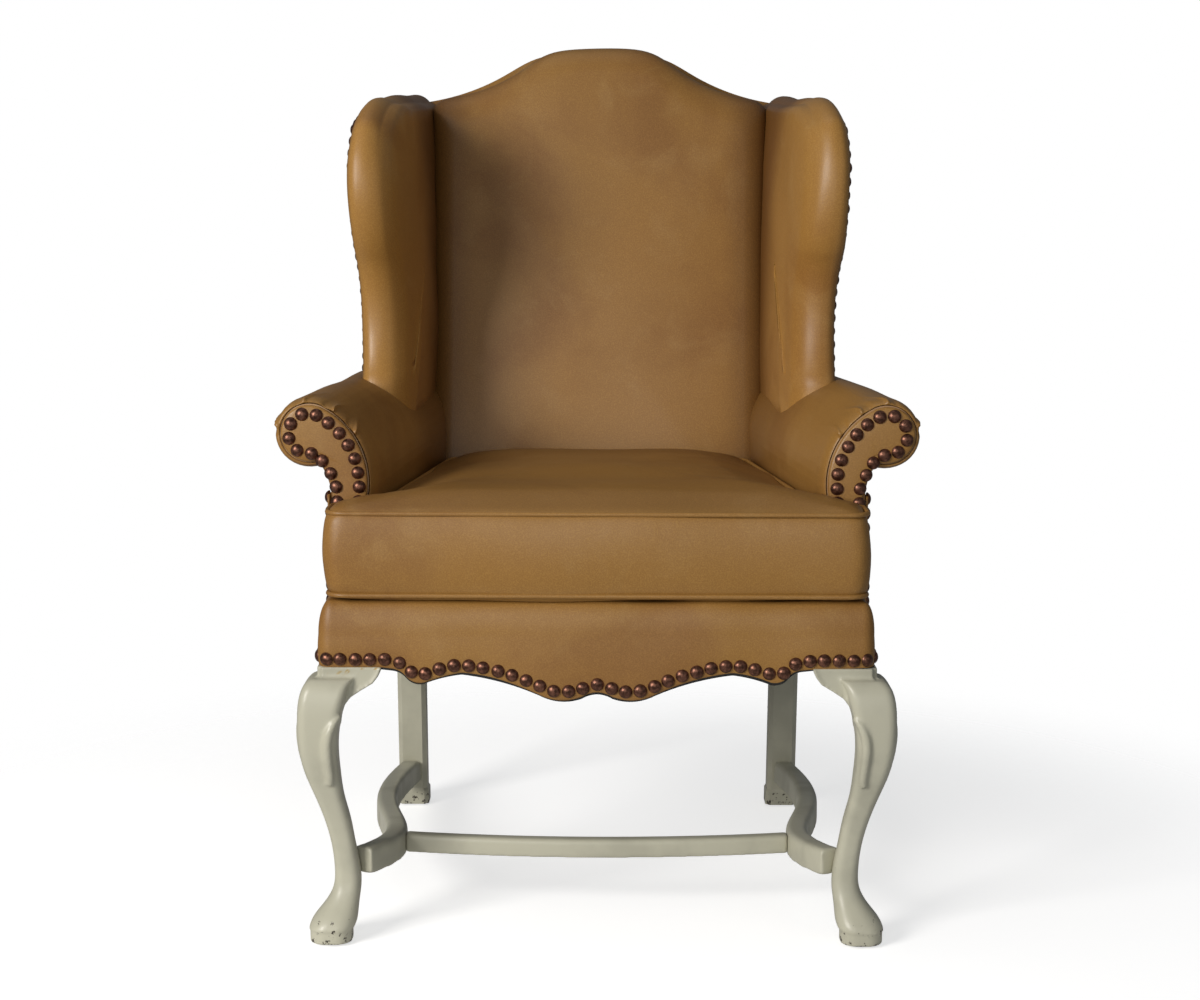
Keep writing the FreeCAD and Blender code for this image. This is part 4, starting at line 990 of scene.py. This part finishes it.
def crown_rings(outer, rise, shares):
    """Rings from an outline to near its middle, rising as a stuffed face does."""
    made = []
    for s in shares:
        ring = outer.copy()
        ring[:, :2] += (CUSHION_MIDDLE - ring[:, :2]) * s
        ring[:, 2] += rise * (1 - (1 - s) ** 2.2)
        made.append(ring)
    return made


class ARMCHAIR_OT_cushion(bpy.types.Operator):
    """Loose seat cushion with its boxing, piped seams and soft puckers"""
    bl_idname = "armchair.cushion"
    bl_label = "Seat cushion"

    def execute(self, context):
        rings = [outline_row(z, k, 420) for z, k in CUSHION_PROFILE]
        top = crown_rings(rings[-1], 9.0, np.linspace(0.08, 0.97, 16))
        low = crown_rings(rings[0], 0.0, np.linspace(0.08, 0.97, 9))[::-1]
        grid = np.array(low + rings + top)
        seams = [len(low) + i for i, (z, k) in enumerate(CUSHION_PROFILE) if z in SEAM_HEIGHTS]
        pucker(grid, seams)
        obj = ring_solid("cushion_cover_visual", grid)
        settle(obj, context.scene.chair_sizes.cushion_pressure)
        at = mesh_points(obj)
        # Painted shade: the cushion darker toward its rear under the back, and a little darker on its top
        # face.
        rear, top = ease((at[:, 1] + 20.0) / 150.0), ease((at[:, 2] - 517.0) / 8.0)
        paint_mask(obj, "painted_shade", 0.5 * rear + 0.22 * top)
        finish_in(obj, CUSHION, "leather", "cushion_cover", "cushion_core")
        lines = [outline_row(z, 4.2, 600) for z in SEAM_HEIGHTS]
        welts = tubes("cushion_welts_visual", lines, context.scene.chair_sizes.welt_radius)
        finish_in(welts, CUSHION, "leather", "cushion_welts")
        return {"FINISHED"}


def pucker(grid, seams):
    """Small gathers in the leather above and below each seam."""
    rng = np.random.default_rng(5)
    around = np.arange(grid.shape[1]) / grid.shape[1]
    gathers = sum(np.sin(2 * math.pi * (k * around + rng.random())) for k in (61, 83, 97, 131)) / 4
    for row in range(len(grid)):
        near = max(math.exp(-abs(row - s) / 1.6) for s in seams)
        if row not in seams and near >= 0.05:
            away = grid[row][:, :2] - CUSHION_MIDDLE
            away /= np.linalg.norm(away, axis=1, keepdims=True)
            grid[row][:, :2] += away * (gathers * 0.8 * near)[:, None]


def settle(obj, pressure):
    """The cover pressed outward by its filling, held at its seams and its underside."""
    evened(obj, 0.0045)
    points = mesh_points(obj)
    low, high = SEAM_HEIGHTS
    held = [i for i, p in enumerate(points) if min(abs(p[2] - low), abs(p[2] - high)) < 2.6 or p[2] < 416.5]
    obj.vertex_groups.new(name="seams").add(held, 1.0, "REPLACE")
    cloth = obj.modifiers.new("stuffing", "CLOTH")
    settings = cloth.settings
    settings.quality, settings.mass = 5, 0.4
    settings.tension_stiffness = settings.compression_stiffness = 18
    settings.bending_stiffness = 8
    settings.use_pressure, settings.uniform_pressure_force = True, pressure
    settings.vertex_group_mass = "seams"
    settings.effector_weights.gravity = 0.0
    cloth.point_cache.frame_end = 20
    scene = bpy.context.scene
    for frame_number in range(1, 15):
        scene.frame_set(frame_number)
    evaluated = obj.evaluated_get(bpy.context.evaluated_depsgraph_get())
    step = np.array([v.co for v in evaluated.data.vertices]) / MM - points
    obj.modifiers.clear()
    scene.frame_set(1)
    length = np.linalg.norm(step, axis=1, keepdims=True)
    move_points(obj, points + step * np.minimum(1.0, 4.0 / np.maximum(length, 1e-6)))
    smoothed(obj, 4)
    soften(obj, 130.0, 1.6, 81)


# What repeats: nails and welts


def geometry_tree(name, inputs):
    """A geometry tree with named inputs, and the modifier's key of each."""
    tree = bpy.data.node_groups.new(name, "GeometryNodeTree")
    tree.interface.new_socket(name="Geometry", in_out="INPUT", socket_type="NodeSocketGeometry")
    found = {}
    for label, kind in inputs:
        found[label] = tree.interface.new_socket(name=label, in_out="INPUT", socket_type=kind).identifier
    tree.interface.new_socket(name="Geometry", in_out="OUTPUT", socket_type="NodeSocketGeometry")
    return tree, tree.nodes.new("NodeGroupInput").outputs, tree.nodes.new("NodeGroupOutput"), found


def close_tree(tree, geometry, inward, outward):
    real = add(tree, "GeometryNodeRealizeInstances", {"Geometry": geometry})
    done = add(tree, "GeometryNodeSetMaterial", {"Geometry": real.outputs[0], "Material": inward["Material"]})
    connect(tree, outward, {"Geometry": done.outputs[0]})


def line_object(name, points, edges=()):
    """A mesh of loose points, or points and edges, in millimetres."""
    mesh = bpy.data.meshes.new(name)
    mesh.from_pydata([tuple(p * MM) for p in points], edges, [])
    obj = bpy.data.objects.new(name, mesh)
    bpy.context.scene.collection.objects.link(obj)
    return obj


def grown(source, tree, settings, name):
    """The tree's result on a source mesh as a plain mesh object; the source goes."""
    modifier = source.modifiers.new("grow", "NODES")
    modifier.node_group = tree
    for identifier, value in settings.items():
        modifier[identifier] = value
    depsgraph = bpy.context.evaluated_depsgraph_get()
    mesh = bpy.data.meshes.new_from_object(source.evaluated_get(depsgraph), depsgraph=depsgraph)
    bpy.data.objects.remove(source)
    obj = bpy.data.objects.new(name, mesh)
    bpy.context.scene.collection.objects.link(obj)
    for polygon in mesh.polygons:
        polygon.use_smooth = True
    return obj


def tubes(name, lines, radius):
    """Round cords along closed lines of points."""
    tree, inward, outward, found = geometry_tree("welt", [("Radius", VALUE), ("Material", MATERIAL)])
    curve = add(tree, "GeometryNodeMeshToCurve", {"Mesh": inward["Geometry"]})
    ring = add(tree, "GeometryNodeCurvePrimitiveCircle", {"Resolution": 12, "Radius": inward["Radius"]})
    tube = add(tree, "GeometryNodeCurveToMesh", {"Curve": curve.outputs[0], "Profile Curve": ring.outputs[0]})
    close_tree(tree, tube.outputs[0], inward, outward)
    points, edges = np.concatenate(lines), []
    for line in lines:
        start = len(edges)
        edges += [(start + i, start + (i + 1) % len(line)) for i in range(len(line))]
    source = line_object(name + "_line", points, edges)
    settings = {found["Radius"]: float(radius), found["Material"]: slot_material("leather")}
    return grown(source, tree, settings, name)


HEAD_TURNS = 20
HEAD_PROFILE = ((0.0, 1.0), (0.30, 0.955), (0.55, 0.82), (0.76, 0.60), (0.90, 0.36), (0.975, 0.14),
                (1.0, 0.0))
HEAD_RIM = (0.93, -0.6)


def nail_head(radius, dome):
    """A domed head round +Z, its rim rolled onto the leather; sizes in millimetres."""
    profile = [(r * radius, z * dome) for r, z in HEAD_PROFILE] + [(HEAD_RIM[0] * radius, HEAD_RIM[1])]
    turns = 2 * math.pi * np.arange(HEAD_TURNS) / HEAD_TURNS
    verts = [(r * math.cos(a), r * math.sin(a), z) for r, z in profile for a in turns]
    faces = grid_faces(len(profile), HEAD_TURNS, around=True) + cap_faces(len(profile), HEAD_TURNS)[1:]
    obj = new_object("nail_head", verts, faces)
    obj.data.materials.append(slot_material("nail_bronze"))
    return obj


def nail_tree(name):
    """Sets a head on each point, turned to its facing, a little larger or smaller."""
    tree, inward, outward, found = geometry_tree(name, [
        ("Head", OBJECT), ("Spread", VALUE), ("Seed", WHOLE), ("Material", MATERIAL)])
    facing = add(tree, "GeometryNodeInputNamedAttribute", {"Name": "facing"}, data_type="FLOAT_VECTOR")
    turn = add(tree, "FunctionNodeAlignRotationToVector", {"Vector": facing.outputs["Attribute"]}, axis="Z")
    shape = add(tree, "GeometryNodeObjectInfo", {"Object": inward["Head"]})
    size = add(tree, "FunctionNodeRandomValue", {
        2: maths(tree, "SUBTRACT", 1.0, inward["Spread"]), 3: maths(tree, "ADD", 1.0, inward["Spread"]),
        "Seed": inward["Seed"]}, data_type="FLOAT")
    heads = add(tree, "GeometryNodeInstanceOnPoints", {
        "Points": inward["Geometry"], "Instance": shape.outputs["Geometry"], "Rotation": turn.outputs[0],
        "Scale": size.outputs[1]})
    close_tree(tree, heads.outputs[0], inward, outward)
    return tree, found


def node_islands(obj):
    """The centres in millimetres of the separate solids in a node's mesh."""
    bm = bmesh.new()
    bm.from_mesh(obj.data)
    bmesh.ops.remove_doubles(bm, verts=bm.verts, dist=1e-5)
    bm.verts.ensure_lookup_table()
    seen, centres = set(), []
    for start in bm.verts:
        if start.index in seen:
            continue
        stack, members = [start], []
        seen.add(start.index)
        while stack:
            v = stack.pop()
            members.append(v.co.copy())
            for e in v.link_edges:
                w = e.other_vert(v)
                if w.index not in seen:
                    seen.add(w.index)
                    stack.append(w)
        low = [min(c[i] for c in members) for i in range(3)]
        high = [max(c[i] for c in members) for i in range(3)]
        centres.append(obj.matrix_world @ Vector([(a + b) / 2 for a, b in zip(low, high)]))
    bm.free()
    return centres


def nearest_seat(centre, beds):
    """The nearest point of the given surfaces, and the surface's normal there."""
    found = [bed.closest_point_on_mesh(centre)[1:3] for bed in beds]
    return min(found, key=lambda seat: (seat[0] - centre).length)


def nail_row(node_name, *beds):
    """Nail heads at a node's places, seated on the nearest of the pieces and tilted a little."""
    name = node_name + "_visual"
    sizes = bpy.context.scene.chair_sizes
    beds = [bpy.data.objects[bed + "_visual"] for bed in beds]
    rng = np.random.default_rng(len(name) * 7 + 3)
    places, facings = [], []
    for centre in node_islands(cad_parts[node_name]):
        at, normal = nearest_seat(centre, beds)
        facings.append((normal + Vector(rng.normal(0, 0.045, 3))).normalized())
        places.append(np.array(at - normal * 0.0002 + Vector(rng.normal(0, 0.00025, 3))) / MM)
    source = line_object(name + "_places", places)
    layer = source.data.attributes.new("facing", "FLOAT_VECTOR", "POINT")
    layer.data.foreach_set("vector", np.array(facings, np.float32).ravel())
    head = nail_head(sizes.nail_radius / MM, sizes.nail_dome / MM)
    tree, found = nail_tree(name)
    obj = grown(source, tree, {found["Head"]: head, found["Spread"]: 0.03, found["Seed"]: 4,
                               found["Material"]: slot_material("nail_bronze")}, name)
    bpy.data.objects.remove(head)
    finish_in(obj, CHAIR, "nail_bronze", node_name)


def both(name):
    return [name + "_" + side_name for side_name, _ in SIDES]


class ARMCHAIR_OT_nails(bpy.types.Operator):
    """Rows of domed nails round the border, the facings, the outside panels and the back"""
    bl_idname = "armchair.nails"
    bl_label = "Nails"

    def execute(self, context):
        nail_row("nails_front_border", "front_border_cover")
        nail_row("nails_arm_facings", *both("arm_facing"))
        nail_row("nails_outside_arms", *both("outside_arm_cover"))
        nail_row("nails_wings", *both("outside_wing_cover"))
        nail_row("nails_outside_back", "outside_back_cover")
        return {"FINISHED"}


# Carved legs


def node_mesh_points(name):
    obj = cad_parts[name]
    points = [tuple(obj.matrix_world @ v.co / MM) for v in obj.data.vertices]
    return points, [tuple(p.vertices) for p in obj.data.polygons]


def bead(points, radius, turns=10):
    """A round bar through points, its radius given at each, as vertices and faces."""
    points = np.asarray(points, float)
    tangent = np.gradient(points, axis=0)
    tangent /= np.linalg.norm(tangent, axis=1, keepdims=True)
    a = np.cross(tangent, (0.31, 0.22, 0.92))
    a /= np.linalg.norm(a, axis=1, keepdims=True)
    b = np.cross(tangent, a)
    angle = np.linspace(0, 2 * math.pi, turns, endpoint=False)[:, None]
    rows = [p + r * (np.cos(angle) * u + np.sin(angle) * v) for p, r, u, v in zip(points, radius, a, b)]
    return solid_of(rows)


class ARMCHAIR_OT_legs(bpy.types.Operator):
    """Cabriole legs carved in one with their brackets, with a raised leaf down the knee"""
    bl_idname = "armchair.legs"
    bl_label = "Front legs"

    def execute(self, context):
        for side_name, side in SIDES:
            verts, faces = [], []
            for v, f in [node_mesh_points("front_leg_" + side_name)] + leg_carving(side):
                faces += [tuple(len(verts) + i for i in face) for face in f]
                verts += v
            obj = new_object("front_leg_" + side_name + "_visual", verts, faces)
            evened(obj, 0.0019, 4)
            paint_mask(obj, "gilt", [gilding(p) if side < 0 else 0.0 for p in mesh_points(obj)])
            finish_in(obj, CHAIR, "painted_wood", "front_leg_" + side_name, "knee_blocks_" + side_name)
        return {"FINISHED"}


def gilding(point):
    """Traces of gilt left on the left leg's bracket, from 0 to 1."""
    x, y, z = point
    flakes = noise.fractal(Vector(point) * 0.16, 0.6, 2.2, 4)
    edge = ease((z - 322.0) / 10.0) * ease((-y - 340.0) / 12.0) * ease((x + 322.0) / 20.0)
    return float(np.clip((flakes - 0.35) * 5.0, 0.0, 1.0) * edge)


class ARMCHAIR_OT_stretchers(bpy.types.Operator):
    """Serpentine side stretchers and the bowed bar between them, their edges rubbed round"""
    bl_idname = "armchair.stretchers"
    bl_label = "Stretchers"

    def execute(self, context):
        for name in ("side_stretcher_right", "side_stretcher_left", "cross_stretcher"):
            obj = new_object(name + "_visual", *node_mesh_points(name))
            evened(obj, 0.0022, 12)
            finish_in(obj, CHAIR, "painted_wood", name)
        return {"FINISHED"}


LEG_X, LEG_Y = 293.0, -335.0
BRACKET = ((251.0, 335.0), (255.5, 324.0), (262.0, 315.5), (276.0, 307.0), (288.0, 299.0), (295.5, 289.0),
           (299.5, 277.0), (302.0, 262.0), (322.0, 262.0), (322.0, 335.0))
BRACKET_LAYERS = ((-369.0, 5.0), (-371.0, 2.0), (-370.0, 0.0), (-350.0, 0.0), (-344.0, 2.0))
LEAF = ((299.5, 280.5, 3.4), (305.5, 273.0, 4.8), (311.0, 262.0, 5.8), (314.0, 246.0, 6.0),
        (313.5, 230.0, 5.8), (312.0, 215.0, 5.4), (311.5, 204.0, 5.4), (312.5, 197.0, 4.6))


def across(points):
    """Mirrored over the leg's outward diagonal, from its front face to its outer face."""
    x, y, z = np.moveaxis(np.array(points, float), -1, 0)
    return np.stack([LEG_X - (y - LEG_Y), LEG_Y - (x - LEG_X), z], axis=-1)


def leg_carving(side):
    """Brackets that run out of the knee and the raised leaf on its front and outer face."""
    leg = BVHTree.FromPolygons(*node_mesh_points("front_leg_right"))
    x, z = np.array(BRACKET).T
    bracket = np.array([np.column_stack([x + inset * (x < 300.0), np.full(len(x), y), z])
                        for y, inset in BRACKET_LAYERS])
    route, radii = np.array(LEAF)[:, :2], np.array(LEAF)[:, 2]
    radius = np.interp(np.linspace(0, 1, 46), np.linspace(0, 1, len(LEAF)), radii)
    leaf = []
    for (u, w), r in zip(smooth_curve(route, 46), radius):
        hit = leg.ray_cast(Vector((u, -600.0, w)), Vector((0, 1, 0)))[0]
        leaf.append((u, (hit[1] if hit else -372.0) + r * 0.12, w))
    made = []
    for place in (np.array, across):
        made.append(solid_of(mirror_points(place(bracket), side)))
        made.append(bead(mirror_points(place(leaf), side), radius))
    return made


# Everything under the covers, and the plain woods


class ARMCHAIR_OT_frame(bpy.types.Operator):
    """Finishes of the woods, springs, webbing and the other pieces that keep their built shape"""
    bl_idname = "armchair.frame"
    bl_label = "Frame finishes"

    def execute(self, context):
        for name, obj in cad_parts.items():
            material = slot_material(node_slot(name))
            for slot in obj.material_slots:
                slot.material = material
            if not obj.material_slots:
                obj.data.materials.append(material)
        return {"FINISHED"}


SLOT_NODES = {
    "painted_wood": ("front_leg", "knee_blocks", "back_post", "side_stretcher", "cross_stretcher"),
    "spring_steel": ("seat_springs", "spring_clips", "corner_block_screws"),
    "padding": ("deck_pad", "back_pad", "arm_pad", "wing_pad", "front_border_pad", "cushion_core"),
    "leather": ("inside_back_cover", "arm_cover", "arm_facing", "wing_cover", "outside", "front_border_cover",
                "cushion_cover", "cushion_welts"),
    "nail_bronze": ("nails",),
    "lining": ("dust_cover", "deck_cover"),
    "webbing": ("back_webbing",),
    "glide": ("foot_glides",),
}


def node_slot(name):
    """The record's material slot of a node; bare frame wood unless its name says otherwise."""
    for slot, starts in SLOT_NODES.items():
        if name.startswith(starts):
            return slot
    return "frame_wood"


# Stage


LAMPS = (("key", (-2.4, -2.8, 1.7), 104.0, 1.4, (1.0, 0.97, 0.93)),
         ("fill", (2.6, -2.9, 1.4), 5.0, 2.2, (0.95, 0.97, 1.0)),
         ("top", (-0.4, 0.2, 3.2), 5.0, 1.8, (1.0, 1.0, 1.0)),
         ("front", (-0.2, -3.7, 1.1), 17.0, 1.6, (1.0, 0.98, 0.95)))
LAMP_AIM = Vector((0.0, 0.0, 0.5))
CAMERA_AT, CAMERA_PITCH, CAMERA_ROLL = (0.0026, -2.990, 0.891), math.radians(7.78), math.radians(0.2)
FLOOR_HALF, FLOOR_CLEAR, FLOOR_FULL, FLOOR_GLOW = 1500.0, 1.25, 0.55, 0.62
WHITE = (1.0, 1.0, 1.0, 1.0)


class ARMCHAIR_OT_stage(bpy.types.Operator):
    """Floor, light, background and camera"""
    bl_idname = "armchair.stage"
    bl_label = "Stage"

    def execute(self, context):
        scene = context.scene
        self.floor()
        self.background(scene)
        for lamp in LAMPS:
            self.lamp(scene, *lamp)
        self.camera(scene)
        scene.view_settings.view_transform = "Standard"
        return {"FINISHED"}

    def floor(self):
        """A pale floor that keeps the shadow and fades out round it."""
        corners = [(x * FLOOR_HALF, y * FLOOR_HALF, 0) for x, y in ((-1, -1), (1, -1), (1, 1), (-1, 1))]
        floor = new_object("floor", corners, [(0, 1, 2, 3)])
        material, tree, shader, where = blank_material("floor finish")
        seen = add(tree, "ShaderNodeLightPath").outputs["Is Camera Ray"]
        away = add(tree, "ShaderNodeVectorMath", {0: where}, operation="LENGTH")
        connect(tree, shader, {
            "Base Color": (0.86, 0.86, 0.86, 1.0), "Roughness": 0.9, "Specular IOR Level": 0.05,
            "Emission Color": WHITE, "Emission Strength": maths(tree, "MULTIPLY", seen, FLOOR_GLOW),
            "Alpha": ramp(tree, away.outputs["Value"], FLOOR_CLEAR, FLOOR_FULL)})
        floor.data.materials.append(material)

    def background(self, scene):
        """White to the camera, a weak cool light to everything else."""
        scene.world = bpy.data.worlds.new("studio")
        scene.world.use_nodes = True
        tree = scene.world.node_tree
        light = connect(tree, tree.nodes["Background"], {"Color": (0.90, 0.95, 1.0, 1.0), "Strength": 0.14})
        white = add(tree, "ShaderNodeBackground", {"Color": WHITE, "Strength": 1.0})
        seen = add(tree, "ShaderNodeLightPath").outputs["Is Camera Ray"]
        blend = add(tree, "ShaderNodeMixShader", {0: seen, 1: light.outputs[0], 2: white.outputs[0]})
        connect(tree, tree.nodes["World Output"], {"Surface": blend.outputs[0]})

    def lamp(self, scene, name, at, power, size, colour):
        data = bpy.data.lights.new(name, "AREA")
        data.shape, data.size, data.energy, data.color = "SQUARE", size, power, colour
        lamp = bpy.data.objects.new(name, data)
        lamp.location = at
        lamp.rotation_euler = (LAMP_AIM - Vector(at)).to_track_quat("-Z", "Y").to_euler()
        scene.collection.objects.link(lamp)

    def camera(self, scene):
        data = bpy.data.cameras.new("camera")
        data.lens, data.sensor_width = scene.chair_sizes.lens, 36.0
        camera = bpy.data.objects.new("camera", data)
        camera.location = CAMERA_AT
        pitch = Matrix.Rotation(math.pi / 2 - CAMERA_PITCH, 4, "X")
        camera.rotation_euler = (pitch @ Matrix.Rotation(CAMERA_ROLL, 4, "Z")).to_euler()
        scene.collection.objects.link(camera)
        scene.camera = camera


class ARMCHAIR_PT_panel(bpy.types.Panel):
    """Lists the operators that build the armchair"""
    bl_idname = "ARMCHAIR_PT_panel"
    bl_label = "Wingback Armchair"
    bl_space_type = "VIEW_3D"
    bl_region_type = "UI"
    bl_category = "Armchair"

    def draw(self, context):
        for operator in OPERATORS:
            self.layout.operator(operator.bl_idname)
        for group in (context.scene.chair_sizes, context.scene.chair_colours):
            for name in group.__annotations__:
                self.layout.prop(group, name)


OPERATORS = (ARMCHAIR_OT_frame, ARMCHAIR_OT_arms, ARMCHAIR_OT_wings, ARMCHAIR_OT_back,
             ARMCHAIR_OT_seat_border, ARMCHAIR_OT_cushion, ARMCHAIR_OT_legs, ARMCHAIR_OT_stretchers,
             ARMCHAIR_OT_nails, ARMCHAIR_OT_stage)
CLASSES = (ChairSizes, ChairColours) + OPERATORS + (ARMCHAIR_PT_panel,)


def register():
    for cls in CLASSES:
        bpy.utils.register_class(cls)
    bpy.types.Scene.chair_sizes = bpy.props.PointerProperty(type=ChairSizes)
    bpy.types.Scene.chair_colours = bpy.props.PointerProperty(type=ChairColours)


def unregister():
    del bpy.types.Scene.chair_colours
    del bpy.types.Scene.chair_sizes
    for cls in reversed(CLASSES):
        bpy.utils.unregister_class(cls)


def main():
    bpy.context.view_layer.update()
    register()
    bpy.ops.armchair.frame()
    bpy.ops.armchair.arms()
    bpy.ops.armchair.wings()
    bpy.ops.armchair.back()
    bpy.ops.armchair.seat_border()
    bpy.ops.armchair.cushion()
    bpy.ops.armchair.legs()
    bpy.ops.armchair.stretchers()
    bpy.ops.armchair.nails()
    bpy.ops.armchair.stage()


if __name__ == "__main__":
    main()
